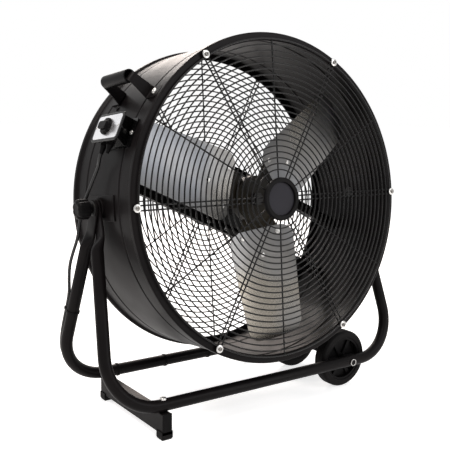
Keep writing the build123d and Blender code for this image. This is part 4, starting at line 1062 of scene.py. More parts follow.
@dataclass(frozen=True)
class Badge:
    """The bare dished badge at the outlet guard's middle and its plate on the inlet guard."""

    radius: float = 0.0426
    base: float = 0.1367
    rim: float = 0.1447
    recess: float = 0.0328
    floor: float = 0.0015
    face: float = 0.0015
    plate_radius: float = 0.038
    plate: float = 0.0015
    rear_height: float = 0.12615
    chamfer: Pair = (0.002, 0.003)
    inlay_gap: float = 0.0002

    def build(self) -> None:
        """Turns the moulding, its inlaid face and the rear plate, and seats them."""
        low = self.base + self.floor
        ring = [(0.0, low), (self.recess, low), (self.recess, self.rim)]
        ring += [(self.radius - self.chamfer[0], self.rim), (self.radius, self.rim - self.chamfer[1])]
        ring = rounded(ring + [(self.radius, self.base), (0.0, self.base)], 0.0016, 4)
        seat(evened(lathed("badge_ring", ring, DRUM.front(), 96)), Body.DRUM, MOULDED, "badge")
        top, edge = low + self.face, self.recess - self.inlay_gap
        inlay = rounded([(0.0, top), (edge, top), (edge, low), (0.0, low)], 0.0006, 3)
        seat(evened(lathed("badge_inlay", inlay, DRUM.front(), 96)), Body.DRUM, CHARCOAL, "badge_face")
        for name, place, height in (
            ("outlet_plate", DRUM.front(), self.base - self.plate),
            ("inlet_plate", DRUM.rear(), self.rear_height),
        ):
            disc = [(0.0, height), (self.plate_radius, height)]
            disc += [(self.plate_radius, height + self.plate), (0.0, height + self.plate)]
            seat(evened(lathed(name, rounded(disc, 0.0005, 2), place, 72)), Body.DRUM, POWDER)


# ---- motor and rotor ------------------------------------------------------------------------------
@dataclass(frozen=True)
class Motor:
    """The closed motor with a ribbed rear bell, held between two channel bars."""

    set_back: float = 0.055
    can: float = 0.054
    bell: float = 0.050
    nose: float = 0.034
    snout: float = 0.017
    shaft_bore: float = 0.0092
    length: float = 0.056
    bell_depth: float = 0.016
    bevel: float = 0.010
    nose_length: float = 0.025
    snout_length: float = 0.012
    lug_width: float = 0.056
    lug_reach: float = 0.014
    lug_spread: float = 0.044
    lug_depth: float = 0.012
    lug_gap: float = 0.0001
    lug_corner: float = 0.0069
    bar_slope: float = 25.0
    bar_offset: float = 0.061
    stud_spread: float = 0.024
    bar_sheet: float = 0.002
    wall: float = 0.320
    inner_wall: float = 0.3188
    screw_rise: float = 0.024
    bore_depth: float = 0.004
    bearing: Pair = (0.016, 0.002)
    ribs: int = 24
    rib_width: float = 0.0018
    rib_length: float = 0.016
    rib_height: float = 0.0016
    rib_circle: float = 0.029
    sunk: float = 0.0006
    stud: Fitting = Fitting(0.0055, 0.0040)
    screw: Fitting = Fitting(0.0050, 0.0025)

    def screw_angles(self) -> list[float]:
        """Angles round the drum of the screws in the bars' end pads."""
        turn = math.degrees(math.asin(self.bar_offset / self.inner_wall))
        ends = (-self.bar_slope, 180 - self.bar_slope)
        return [end + side * turn for end in ends for side in (1, -1)]

    def housing(self, trees: Trees) -> None:
        """Turns the housing's three parts, with lugs in front and ribs behind, and seats them.

        Args:
            trees: the shared trees.
        """
        place = DRUM.front() @ moved(z=-self.set_back)
        depth, length = self.bell_depth, self.length
        tip = self.nose_length + self.snout_length
        floor = tip - self.bore_depth
        front = [(0.0, floor), (self.shaft_bore, floor), (self.shaft_bore, tip), (self.snout, tip)]
        front += [(self.snout, self.nose_length), (self.nose, self.nose_length), (self.nose, 0.0)]
        front += [(self.bell, 0.0), (self.bell, -depth), (0.0, -depth)]
        seat(evened(lathed("motor_cover", rounded(front, 0.0026, 4), place, 72)), Body.DRUM, MOTOR_PAINT)
        foot = rectangle(self.lug_width, 2 * self.bar_offset + self.lug_reach, self.lug_corner, 5)
        low, high, spread = -self.lug_depth, -self.lug_gap, self.lug_spread
        lugs = [
            slab(f"motor_lug_{side}", foot, low, high, moved(side * spread), 0.001) for side in (1, -1)
        ]
        arms = evened(joined(lugs, place @ turned(-self.bar_slope, "Z")))
        seat(arms, Body.DRUM, MOTOR_PAINT, "motor_front_bell")
        middle = [(0.0, -depth), (self.can, -depth), (self.can, depth - length), (0.0, depth - length)]
        case = lathed("motor_case", rounded(middle, 0.002, 3), place, 96)
        seat(evened(case), Body.DRUM, MOTOR_PAINT, "motor_can")
        back = [(0.0, depth - length), (self.bell, depth - length), (self.bell, self.bevel - length)]
        hollow, floor = self.bearing[0], self.bearing[1] - length
        back += [(self.bell - self.bevel, -length), (hollow, -length), (hollow, floor), (0.0, floor)]
        bell = lathed("motor_bell", rounded(back, 0.0022, 4), place, 72)
        seat(evened(bell), Body.DRUM, MOTOR_PAINT, "motor_rear_bell")
        line = rectangle(self.rib_width, self.rib_length, 0.0006, 2)
        rib = slab("motor_ribs", line, 0.0, self.rib_height, moved(0, -self.rib_circle, 0), 0.0003)
        rib.data.transform(moved(z=self.set_back + length - self.sunk))
        around = {"Count": self.ribs, "Start": 0.0, "Turn": 2 * math.pi / self.ribs}
        ribs = trees.copies.run(rib, around | {"Material": MOTOR_PAINT.material()})
        ribs.data.transform(DRUM.rear())
        seat(ribs, Body.DRUM, MOTOR_PAINT)

    def build(self, trees: Trees) -> None:
        """Makes the motor, its bars and their fasteners and seats them.

        Args:
            trees: the shared trees.
        """
        self.housing(trees)
        for node in ("upper_motor_bar", "lower_motor_bar"):
            keep(node, f"{node}_channel", 0.0008, Body.DRUM, POWDER)
        bars = DRUM.front() @ moved(z=-self.set_back) @ turned(-self.bar_slope, "Z")
        spots = [(x * self.stud_spread, y * self.bar_offset) for x in (1, -1) for y in (1, -1)]
        studs = [bars @ moved(x, y, self.bar_sheet) for x, y in spots]
        fasten("motor_bolts", studs, self.stud, ZINC, trees.fittings, Body.DRUM, "motor_studs")
        front = self.screw_rise - self.set_back
        pads = [DRUM.outward(angle, self.wall, front) for angle in self.screw_angles()]
        pads += [
            DRUM.outward(angle, self.inner_wall - self.bar_sheet, front) @ turned(180, "X")
            for angle in self.screw_angles()
        ]
        fasten("bar_bolts", pads, self.screw, POWDER, trees.fittings, Body.DRUM, "bar_screws")


@dataclass(frozen=True)
class Rotor:
    """Three cambered sheet blades riveted to the arms of a pressed hub."""

    start: float = 38.0
    count: int = 3
    height: float = 0.050
    pitch: float = 11.0
    camber: float = 0.350
    sheet: float = 0.0016
    tip: float = 0.298
    root: float = 0.062
    root_lead: float = 0.076
    root_trail: float = 0.074
    tip_lead: float = 0.064
    tip_trail: float = 0.060
    root_round: float = 0.030
    tip_round: float = 0.024
    arm: float = 0.003
    rivets: tuple[Pair, ...] = ((0.076, 0.041), (0.118, 0.0), (0.076, -0.041))
    rivet: Fitting = Fitting(0.0055, 0.0022, recess=False)

    def blade_place(self, angle: float) -> Matrix:
        """Place of one blade: x out along it, y towards its leading edge and z out of the front."""
        return DRUM.front() @ moved(z=self.height) @ turned(angle, "Z") @ turned(self.pitch, "X")

    def crown(self, across: float, behind: float = 0.0) -> float:
        """Height of the blade's curved sheet at a distance across it."""
        return self.camber - math.sqrt((self.camber + behind) ** 2 - across**2)

    def edges(self, along: float, share: float) -> Pair:
        """Where a row across the blade ends.

        Args:
            along: distance from the drum's axis at mid blade.
            share: share of the way from root to tip.

        Returns:
            The trailing and the leading end of the row.
        """
        lead = self.root_lead + (self.tip_lead - self.root_lead) * share
        trail = self.root_trail + (self.tip_trail - self.root_trail) * share
        pull = 0.0
        ends = ((along - self.root, self.root_round), (self.tip - along, self.tip_round))
        for distance, radius in ends:
            if distance < radius:
                pull += radius - math.sqrt(max(radius**2 - (radius - distance) ** 2, 0.0))
        return pull - trail, lead - pull

    def blade(self, name: str, angle: float, rows: int = 56, columns: int = 28) -> Shape:
        """One blade as a closed curved sheet.

        Args:
            name: name of the piece.
            angle: turn of the blade in degrees.
            rows: faces along it.
            columns: faces across it.

        Returns:
            The blade, with a UV map along and across it.
        """
        work = bmesh.new()
        flat = work.loops.layers.uv.new("along_blade")
        grids = []
        for behind in (0.0, self.sheet):
            grid = []
            for row in range(rows + 1):
                share = 0.5 - 0.5 * math.cos(math.pi * row / rows)
                middle = self.root + share * (self.tip - self.root)
                low, high = self.edges(middle, share)
                line = []
                for column in range(columns + 1):
                    across = low + (high - low) * column / columns
                    end = math.sqrt(self.tip**2 - across**2)
                    along = self.root + share * (end - self.root)
                    line.append(work.verts.new((along, across, self.crown(across, behind))))
                grid.append(line)
            grids.append(grid)
        front, back = grids
        for row in range(rows):
            for column in range(columns):
                for grid in grids:
                    near, far = grid[row], grid[row + 1]
                    work.faces.new((near[column], far[column], far[column + 1], near[column + 1]))
        rim = [(0, column) for column in range(columns)]
        rim += [(row, columns) for row in range(rows)]
        rim += [(rows, columns - column) for column in range(columns)]
        rim += [(rows - row, 0) for row in range(rows)]
        for here, after in zip(rim, rim[1:] + rim[:1]):
            pair = [front[here[0]][here[1]], front[after[0]][after[1]]]
            work.faces.new(pair + [back[after[0]][after[1]], back[here[0]][here[1]]])
        for face in work.faces:
            for loop in face.loops:
                loop[flat].uv = (loop.vert.co.x, loop.vert.co.y)
        return bevelled(from_bmesh(name, work, self.blade_place(angle), 60.0), 0.0003, 2, 50.0)

    def rivet_place(self, angle: float, spot: Pair, behind: float) -> Matrix:
        """Place on the blade's surface square to it, at a spot along and across the blade."""
        along, across = spot
        lean = math.degrees(math.asin(across / self.camber))
        surface = self.blade_place(angle) @ moved(along, across, self.crown(across)) @ turned(lean, "X")
        return surface @ moved(z=-behind)

    def build(self, trees: Trees) -> None:
        """Makes the blades, hub and rivets and seats them.

        Args:
            trees: the shared trees.
        """
        turns = [self.start + 360.0 * k / self.count for k in range(self.count)]
        for number, angle in enumerate(turns, start=1):
            seat(self.blade(f"fan_blade_{number}", angle), Body.ROTOR, ALLOY, f"blade_{number}")
        keep("rotor_hub", "hub_with_arms", 0.0008, Body.ROTOR, HUB_STEEL)
        spots = [(angle, spot) for angle in turns for spot in self.rivets]
        heads = [self.rivet_place(angle, spot, 0.0) for angle, spot in spots]
        behind = self.sheet + self.arm
        heads += [self.rivet_place(angle, spot, behind) @ turned(180, "X") for angle, spot in spots]
        fasten("rivet_heads", heads, self.rivet, ZINC, trees.fittings, Body.ROTOR, "blade_rivets")
        for node in ("motor_shaft", "hub_nut"):
            keep(node, f"{node}_turned", 0.0006, Body.ROTOR, DARK_ZINC)


# ---- handle and control box -----------------------------------------------------------------------
@dataclass(frozen=True)
class Handle:
    """The bent strap with its moulded grip."""

    angle: float = 140.0
    front: float = 0.0235
    wall: float = 0.320
    standoff: float = 0.050
    length: float = 0.095
    radius: float = 0.0125
    bore: float = 0.0104
    bolt_offset: float = 0.0715
    strap: float = 0.003
    gap: float = 0.0001
    bolt: Fitting = Fitting(0.0060, 0.0040)

    def build(self, trees: Trees) -> None:
        """Makes the strap, grip and bolts and seats them.

        Args:
            trees: the shared trees.
        """
        keep("handle_strap", "handle_bracket", 0.0008, Body.DRUM, POWDER)
        half = self.length / 2
        ring = [(self.bore, -half), (self.radius, -half), (self.radius, half), (self.bore, half)]
        ring = rounded(ring, 0.0012, 4, closed=True)
        place = DRUM.outward(self.angle, self.wall + self.standoff, self.front) @ turned(90, "Y")
        sleeve = lathed("handle_sleeve", ring, place, 48, looped=True)
        seat(evened(sleeve), Body.DRUM, MOULDED, "handle_grip")
        seat_radius = self.wall + self.strap + self.gap
        fronts = (self.front + self.bolt_offset, self.front - self.bolt_offset)
        spots = [DRUM.outward(self.angle, seat_radius, front) for front in fronts]
        fasten("handle_screws", spots, self.bolt, ZINC, trees.fittings, Body.DRUM, "handle_bolts")


@dataclass(frozen=True)
class ControlBox:
    """The flared box with its bright plate, knob, glands and screws."""

    angle: float = 155.3
    front: float = 0.047
    wall: float = 0.320
    height: float = 0.030
    flange: float = 0.0025
    plate_length: float = 0.094
    plate_width: float = 0.046
    plate_corner: float = 0.006
    plate_overlap: float = 0.0002
    plate_height: float = 0.0034
    sheet: float = 0.0006
    top_width: float = 0.043
    gland_rise: float = 0.018
    gland_spots: Pair = (0.024, -0.002)
    nut: float = 0.008
    relief: tuple[Pair, ...] = ((0.0, 0.003), (0.0066, 0.003), (0.0066, 0.009), (0.0058, 0.0105))
    relief_length: float = 0.024
    relief_ends: Pair = (0.0036, 0.0026)
    screw_spot: float = 0.044
    flange_screw: float = 0.0375
    lid_length: float = 0.104
    lid_width: float = 0.056
    lid_corner: float = 0.009
    knob: float = 0.0165
    knob_body: float = 0.0062
    knob_height: float = 0.0118
    knob_gap: float = 0.0003
    knob_foot: tuple[Pair, ...] = ((0.0, 0.95), (0.0008, 1.0))
    knob_edge: tuple[Pair, ...] = ((0.0015, 0.96), (0.0004, 0.92), (0.0, 0.85), (0.0, 0.30))
    flutes: int = 12
    flute: float = 0.0011
    ridge: Pair = (0.0315, 0.0145)
    ridge_corner: float = 0.005
    ridge_sunk: float = 0.001
    screw: Fitting = Fitting(0.0045, 0.0022)
    pin: Fitting = Fitting(0.0022, 0.0010)

    def place(self, height: float = 0.0) -> Matrix:
        """Place on the box's middle with z out of the drum wall, at a height above the wall."""
        return DRUM.outward(self.angle, self.wall + height, self.front)

    def gland_place(self, spot: float) -> Matrix:
        """Place on the box's lower side with z leaving the side."""
        return self.place(self.gland_rise) @ moved(spot, self.top_width / 2, 0) @ turned(-90, "X")

    def knob_radius(self, turn: float) -> float:
        """Radius of the knob's fluted body at a turn."""
        return self.knob - self.flute * (0.5 + 0.5 * math.cos(self.flutes * turn)) ** 2

    def build(self, trees: Trees) -> None:
        """Makes the box and everything on it and seats it.

        Args:
            trees: the shared trees.
        """
        keep("control_box", "switch_box", 0.0012, Body.DRUM, GLOSS_CAP)
        top = self.place(self.height)
        lid = rectangle(self.lid_length, self.lid_width, self.lid_corner)
        seat(slab("switch_lid", lid, 0.0, self.plate_height, top, 0.0010), Body.DRUM, GLOSS_CAP)
        low, high = self.plate_height - self.plate_overlap, self.plate_height + self.sheet
        face = rectangle(self.plate_length, self.plate_width, self.plate_corner)
        rim = slab("switch_plate", face, low, high, top, 0.0002)
        inverse = top.inverted()
        flat = rim.data.uv_layers.new(name="along_plate")
        for loop in rim.data.loops:
            spot = inverse @ rim.data.vertices[loop.vertex_index].co
            flat.data[loop.index].uv = (spot.x, spot.y)
        seat(rim, Body.DRUM, PLATE, "control_plate")
        base = self.place(self.height + high + self.knob_gap)
        levels = [*self.knob_foot, *((self.knob_body - below, share) for below, share in self.knob_edge)]
        body = lobed("knob_body", self.knob_radius, levels, base, 144)
        seat(evened(body), Body.SPEED_KNOB, MOULDED, "speed_knob")
        bar, foot = rectangle(*self.ridge, self.ridge_corner, 5), self.knob_body - self.ridge_sunk
        ridge = slab("knob_ridge", bar, foot, self.knob_height, base, 0.0014)
        seat(ridge, Body.SPEED_KNOB, MOULDED)
        for node, spot, end in zip(("power_gland", "motor_gland"), self.gland_spots, self.relief_ends):
            self.gland(node, spot, end)
        spots = [self.place(self.flange) @ moved(side * self.flange_screw) for side in (1, -1)]
        fasten("switch_screws", spots, self.screw, ZINC, trees.fittings, Body.DRUM, "box_screws")
        spots = [top @ moved(side * self.screw_spot, 0, high) for side in (1, -1)]
        fasten("plate_pins", spots, self.pin, ZINC, trees.fittings, Body.DRUM)

    def gland(self, node: str, spot: float, end: float) -> None:
        """Makes one gland with its nut and tapered relief.

        Args:
            node: the CAD node it replaces.
            spot: where it is along the box.
            end: radius of the relief where its cord leaves it.
        """
        place = self.gland_place(spot)
        corners = [(self.nut * x, self.nut * y) for x, y in circle(6)]
        nut = slab(f"{node}_nut", corners, -0.002, 0.004, place, 0.0006)
        seat(nut, Body.DRUM, MOULDED)
        profile = [*self.relief, (end, self.relief_length), (0.0, self.relief_length)]
        relief = lathed(f"{node}_relief", rounded(profile, 0.0006, 3), place, 40)
        seat(evened(relief), Body.DRUM, MOULDED, node)


# ---- pivots ---------------------------------------------------------------------------------------
@dataclass(frozen=True)
class Pivots:
    """The backing strips, spacers, washers, bolts and hand knobs at the two pivots."""

    clamp_face: float = 0.3396
    neck: float = 0.009
    neck_length: float = 0.007
    radius: float = 0.0192
    notch: float = 0.0026
    notches: int = 6
    bore: float = 0.0055
    overlap: float = 0.002
    grip: tuple[Pair, ...] = (
        (0.0, 0.80), (0.0015, 0.96), (0.004, 1.0), (0.019, 0.985), (0.0225, 0.92), (0.0243, 0.80),
        (0.025, 0.62), (0.0242, 0.56), (0.0242, 0.25),
    )

    def knob_radius(self, turn: float) -> float:
        """Radius of the hand knob at a turn, with its finger notches."""
        wave = (0.5 + 0.5 * math.cos(self.notches * turn)) ** 3
        return self.radius - self.notch * wave

    def build(self) -> None:
        """Makes everything at both pivots and seats it."""
        sides = (("left", 180.0, Body.LEFT_CLAMP), ("right", 0.0, Body.RIGHT_CLAMP))
        for name, angle, body in sides:
            keep(f"{name}_backing_plate", f"{name}_backing_strip", 0.0008, Body.DRUM, POWDER)
            start = self.clamp_face + self.neck_length
            levels = [(start + rise, share) for rise, share in self.grip]
            place = DRUM.outward(angle, 0.0, 0.0)
            grip = lobed(f"{name}_hand_grip", self.knob_radius, levels, place, 96)
            seat(evened(grip), body, MOULDED, f"{name}_clamp_knob")
            face, top = self.clamp_face, start + self.overlap
            sleeve = [(self.bore, face), (self.neck, face), (self.neck, top), (self.bore, top)]
            sleeve = rounded(sleeve, 0.0008, 3, closed=True)
            collar = lathed(f"{name}_hand_collar", sleeve, place, 48, looped=True)
            seat(evened(collar), body, MOULDED)
        keep("pivot_spacers", "pivot_collars", 0.0006, Body.DRUM, POWDER)
        keep("pivot_bolts", "pivot_studs", 0.0005, Body.DRUM, DARK_ZINC)
        keep("pivot_washers", "pivot_rings", 0.0003, Body.STAND, DARK_ZINC)


# ---- stand ----------------------------------------------------------------------------------------
@dataclass(frozen=True)
class TubeFrame:
    """One bent tube frame with flattened ends round the pivot bolts."""

    name: str
    node: str
    side: int
    face: float
    pivot_height: float = 0.427
    radius: float = 0.012
    height: float = 0.0635
    spread: float = 0.114
    top_x: float = 0.334
    bottom_x: float = 0.366
    bend: float = 0.098
    flat: float = 0.005
    flat_width: float = 0.033
    flat_reach: float = 0.052
    flat_blend: float = 0.034
    square: float = 6.0
    circular: float = 2.0
    least_width: float = 0.0008
    flat_share: float = 0.92
    early: float = 0.04
    run_shares: Pair = (0.3, 0.65)
    end_steps: int = 8
    bend_steps: int = 24

    def place(self) -> Matrix:
        """Plane of the frame: x to the right, y up along the legs and z across the tube."""
        lean = math.atan2(self.spread, self.pivot_height - self.height)
        return leaning(self.pivot_height, lean, self.side)

    def leg_x(self, down: float, length: float) -> float:
        """Half width between the legs a distance down from the pivot."""
        return self.top_x + (self.bottom_x - self.top_x) * down / length

    def leg_stations(self, length: float) -> list[tuple[float, float, float, float, float]]:
        """The right leg from its flat end down to where the tube is round.

        Args:
            length: distance from the pivot to the tube's bottom run.

        Returns:
            Across, down, half width, half thickness and squareness at each station.
        """
        middle = self.face + self.flat / 2
        half, thin = self.flat_width / 2, self.flat / 2
        stations = []
        for step in range(self.end_steps + 1):
            turn = math.pi / 2 * step / self.end_steps
            up = half * math.cos(turn)
            wide = max(half * math.sin(turn), self.least_width)
            stations.append((middle, -up, wide, thin, self.square))
        stations.append((middle, self.flat_reach * self.flat_share, half, thin, self.square))
        top = self.flat_reach + self.flat_blend
        for step in range(1, self.end_steps + 1):
            share = step / self.end_steps
            ease = share * share * (3 - 2 * share)
            down = self.flat_reach + self.flat_blend * (share - self.early)
            across = middle + (self.leg_x(top, length) - middle) * ease
            wide = half + (self.radius - half) * ease
            thick = thin + (self.radius - thin) * ease
            square = self.square - (self.square - self.circular) * math.sqrt(ease)
            stations.append((across, down, wide, thick, square))
        return stations

    def line(self) -> tuple[list[Vector], list[tuple[float, float, float]]]:
        """Middle line of the whole frame in its plane with the section at each point.

        Returns:
            The points, and each one's half width, half thickness and squareness.
        """
        length = math.hypot(self.spread, self.pivot_height - self.height)
        right = self.leg_stations(length)
        points = [Vector((-across, -down)) for across, down, *_ in right]
        sections = [tuple(rest) for _, _, *rest in right]
        top = self.flat_reach + self.flat_blend
        start = Vector((-self.leg_x(top, length), -top))
        corner = Vector((-self.bottom_x, -length))
        run = (corner - start).normalized()
        half = math.acos(run.dot(Vector((1, 0)))) / 2
        reach = self.bend * math.tan(half)
        first = corner - run * reach
        centre = Vector((corner.x + reach, corner.y + self.bend))
        arm = first - centre
        bottom = []
        for step in range(self.bend_steps + 1):
            swing = arm.copy()
            swing.rotate(Matrix.Rotation(2 * half * step / self.bend_steps, 2))
            bottom.append(centre + swing)
        bottom = [start + (first - start) * share for share in self.run_shares] + bottom
        mirrored = [Vector((-point.x, point.y)) for point in reversed(bottom)]
        round_part = bottom + [Vector((0.0, corner.y))] + mirrored
        points += round_part + [Vector((-point.x, point.y)) for point in reversed(points)]
        round_section = (self.radius, self.radius, self.circular)
        sections = sections + [round_section] * len(round_part) + sections[::-1]
        return points, sections

    def tube(self, sides: int = 40) -> Shape:
        """The skin of the frame.

        Args:
            sides: faces round the tube.

        Returns:
            The piece.
        """
        points, sections = self.line()
        rows = []
        for k, (point, (wide, thick, square)) in enumerate(zip(points, sections)):
            along = (points[min(k + 1, len(points) - 1)] - points[max(k - 1, 0)]).normalized()
            if square > self.square - 0.1:
                along = Vector((0, math.copysign(1, along.y)))
            across = Vector((-along.y, along.x))
            row = []
            for side in range(sides):
                turn = 2 * math.pi * side / sides
                power = 2 / square
                out = math.copysign(abs(math.cos(turn)) ** power, math.cos(turn)) * wide
                aside = math.copysign(abs(math.sin(turn)) ** power, math.sin(turn)) * thick
                row.append((point.x + across.x * aside, point.y + across.y * aside, out))
            rows.append(row)
        return skinned(self.name, rows, self.place(), crease=50.0)

    def build(self) -> None:
        """Makes the frame and seats it."""
        seat(evened(self.tube()), Body.STAND, POWDER, self.node)


@dataclass(frozen=True)
class Footing:
    """The box beam with its plugs, rubber shoes and bolts."""

    x: float = -0.253
    width: float = 0.020
    low: float = 0.0115
    high: float = 0.0515
    length: float = 0.259
    spread: float = 0.114
    bolt_height: float = 0.0755
    nut_height: float = 0.0455
    corner: float = 0.0025
    bolt: Fitting = Fitting(0.0065, 0.0040)

    def build(self, trees: Trees) -> None:
        """Makes the beam and its fittings and seats them.

        Args:
            trees: the shared trees.
        """
        place = moved(self.x, 0, (self.low + self.high) / 2) @ turned(90, "X")
        outline = rectangle(self.width, self.high - self.low, self.corner)
        beam = slab("foot_bar", outline, -self.length / 2, self.length / 2, place, 0.0003)
        seat(beam, Body.STAND, POWDER, "foot_beam")
        keep("beam_plugs", "foot_bar_caps", 0.0007, Body.STAND, MOULDED)
        keep("beam_shoes", "rubber_shoes", 0.0016, Body.STAND, RUBBER, 3)
        spots = [moved(self.x, side * self.spread, self.bolt_height) for side in (1, -1)]
        under = [moved(self.x, side * self.spread, self.nut_height) for side in (1, -1)]
        spots += [spot @ turned(180, "X") for spot in under]
        fasten("foot_bar_bolts", spots, self.bolt, ZINC, trees.fittings, Body.STAND, "beam_bolts")


@dataclass(frozen=True)
class Wheel:
    """One wheel: a solid tyre with a shallow tread groove on a spoked centre."""

    name: str
    body: Body
    middle: float
    x: float = 0.2257
    radius: float = 0.0635
    width: float = 0.030
    seat_radius: float = 0.0475
    shoulder: Pair = (0.004, 0.005)
    grooves: Pair = (-0.005, 0.005)
    groove: Pair = (0.0012, 0.001)
    rounding: float = 0.003

    def build(self) -> None:
        """Makes the tyre and centre and seats them."""
        place = moved(self.x, self.middle, self.radius) @ turned(-90, "X")
        half, radius = self.width / 2, self.radius
        face, slope = radius - self.shoulder[0], half - self.shoulder[1]
        deep, wide = self.groove
        profile = [(self.seat_radius, -half), (face, -half), (radius, -slope)]
        for spot in self.grooves:
            profile += [(radius, spot - wide), (radius - deep, spot), (radius, spot + wide)]
        profile += [(radius, slope), (face, half), (self.seat_radius, half)]
        profile = rounded(profile, self.rounding, 3, closed=True)
        ring = lathed(f"{self.name}_rubber", profile, place, 96, looped=True, crease=50)
        seat(evened(ring), self.body, RUBBER, f"{self.name}_tyre")
        keep(f"{self.name}_wheel_hub", f"{self.name}_centre", 0.0008, self.body, MOULDED)


def axle_parts() -> None:
    """Seats the axle with its collars and the rings that hold it."""
    keep("wheel_axle", "axle_rod", 0.0006, Body.STAND, POWDER)
    keep("axle_collars", "axle_sleeves", 0.0005, Body.STAND, MOULDED)
    keep("axle_rings", "axle_push_rings", 0.0005, Body.STAND, ZINC)


# ---- cord -----------------------------------------------------------------------------------------
@dataclass(frozen=True)
class MainsCord:
    """The lead from the box to the stand, and the cord tied along the rear tube to its coil and plug.
    """

    diameter: float = 0.0064
    free: tuple[Triple, ...] = (
        (-0.3265, -0.0040, 0.5060),
        (-0.3330, 0.0085, 0.4780),
        (-0.3395, 0.0195, 0.4510),
        (-0.3465, 0.0260, 0.4250),
        (-0.3520, 0.0280, 0.3970),
        (-0.3555, 0.0290, 0.3690),
        (-0.3600, 0.0405, 0.3420),
        (-0.3620, 0.0545, 0.3140),
        (-0.3610, 0.0610, 0.2840),
        (-0.3575, 0.0675, 0.2550),
    )
    tie: Triple = (-0.3595, 0.0790, 0.2240)
    held: tuple[Triple, ...] = (
        (-0.3616, 0.0911, 0.1914),
        (-0.3615, 0.1045, 0.1550),
        (-0.3570, 0.1135, 0.1250),
        (-0.3370, 0.1220, 0.0970),
        (-0.3030, 0.1285, 0.0755),
        (-0.2620, 0.1310, 0.0620),
        (-0.2040, 0.1296, 0.0602),
        (-0.1460, 0.1302, 0.0608),
        (-0.0880, 0.1296, 0.0600),
        (-0.0300, 0.1301, 0.0607),
        (0.0220, 0.1300, 0.0602),
        (0.0640, 0.1330, 0.0530),
        (0.0980, 0.1420, 0.0340),
        (0.1240, 0.1540, 0.0145),
        (0.1460, 0.1638, 0.0060),
    )
    coil: Pair = (0.214, 0.214)
    coil_radius: float = 0.026
    coil_turns: int = 3
    coil_pitch: float = 0.0072
    layer: float = 0.0070
    tail: float = 0.024
    run_in: float = 0.022
    lift: float = 0.0001
    lead_length: float = 0.336
    still_share: float = 0.15
    cord_length: float = 1.997
    half_turn_points: int = 8
    relief_grip: float = 0.013
    straight: float = 3.0
    plug_sections: tuple[Triple, ...] = (
        (0.0, 0.30, 0.0030), (0.004, 0.38, 0.0036), (0.010, 0.52, 0.005), (0.014, 0.84, 0.006),
        (0.018, 0.97, 0.006), (0.026, 0.97, 0.005), (0.029, 0.90, 0.005), (0.032, 0.97, 0.005),
        (0.050, 1.0, 0.0045), (0.052, 0.97, 0.0045),
    )

    def half_turns(
        self, y: float, radii: Sequence[float], low: float, high: float
    ) -> tuple[list[Triple], float]:
        """Coil points one half turn after another, rising evenly from one height to the other.

        Args:
            y: where the first half turn starts.
            radii: signed radius of each half turn, negative to the left.
            low: height at the start.
            high: height at the end.

        Returns:
            The points, and where the last half turn ends.
        """
        points = []
        whole = len(radii) * self.half_turn_points
        for number, radius in enumerate(radii):
            out = -1 if number % 2 else 1
            centre = y + out * abs(radius)
            for step in range(1, self.half_turn_points + 1):
                turn = math.pi * (step - 0.5) / self.half_turn_points
                done = (number * self.half_turn_points + step) / whole
                x = self.coil[0] + radius * math.sin(turn)
                height = low + (high - low) * done
                points.append((x, centre - out * abs(radius) * math.cos(turn), height))
            y = centre + out * abs(radius)
        return points, y

    def coil_points(self) -> list[Triple]:
        """The coil inwards along the floor, up a layer and outwards again."""
        low = self.diameter / 2 + self.lift
        high = low + self.layer
        step = self.coil_pitch / 2
        y = self.coil[1] - self.coil_radius - (2 * self.coil_turns - 1) * step
        inward = [self.coil_radius + k * step for k in reversed(range(2 * self.coil_turns))]
        inward = [radius if k % 2 == 0 else -radius for k, radius in enumerate(inward)]
        points = [(self.coil[0] - self.tail, y, low), (self.coil[0] - self.tail / 2, y, low)]
        first, end = self.half_turns(y, inward, low, low)
        climb = self.coil_radius - step
        up, far = self.half_turns(end, [climb], low, high)
        outward = [self.coil_radius + k * step for k in range(2 * self.coil_turns - 1)]
        outward = [-radius if k % 2 == 0 else radius for k, radius in enumerate(outward)]
        last, near = self.half_turns_back(far, outward, high)
        ends = [(self.coil[0] + self.tail / 2, near, high), (self.coil[0] + self.tail, near, high)]
        return points + first + up + last + ends

    def half_turns_back(
        self, y: float, radii: Sequence[float], height: float
    ) -> tuple[list[Triple], float]:
        """The same as half_turns for a layer that starts at the far side."""
        flipped, end = self.half_turns(-y, radii, height, height)
        return [(x, -across, z) for x, across, z in flipped], -end

    def spline(self, name: str, points: Sequence[Triple]) -> Shape:
        """Smooth curve led by the points.

        Args:
            name: name of the piece.
            points: control points in order.

        Returns:
            The curve with no thickness.
        """
        curve = drawn(name, points, "NURBS")
        curve.data.resolution_u = 8
        route = curve.data.splines[0]
        route.order_u = 3
        route.use_endpoint_u = True
        return curve

    def thickened(self, curve: Shape) -> Shape:
        """Gives a curve the cord's round section with closed ends."""
        curve.data.bevel_depth = self.diameter / 2
        curve.data.bevel_resolution = 4
        curve.data.use_fill_caps = True
        return curve

    def lead(self, box: ControlBox) -> None:
        """Makes the lead from the box's gland down to its tie.

        Args:
            box: the control box that it leaves.
        """
        exit_place = box.gland_place(box.gland_spots[0]) @ moved(z=self.relief_grip)
        start = exit_place.translation
        straight = (exit_place @ moved(z=self.straight * self.diameter)).translation
        curve = self.spline("control_wire", [tuple(start), tuple(straight), *self.free, self.tie])
        line = bpy.data.meshes.new_from_object(curve)
        bpy.data.meshes.remove(line)
        wire = dress(plain(self.thickened(curve)), JACKET)
        wire.data.shade_smooth()
        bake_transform(wire)
        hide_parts("control_lead")
        LOG.info("control_wire bends between the drum and the stand")

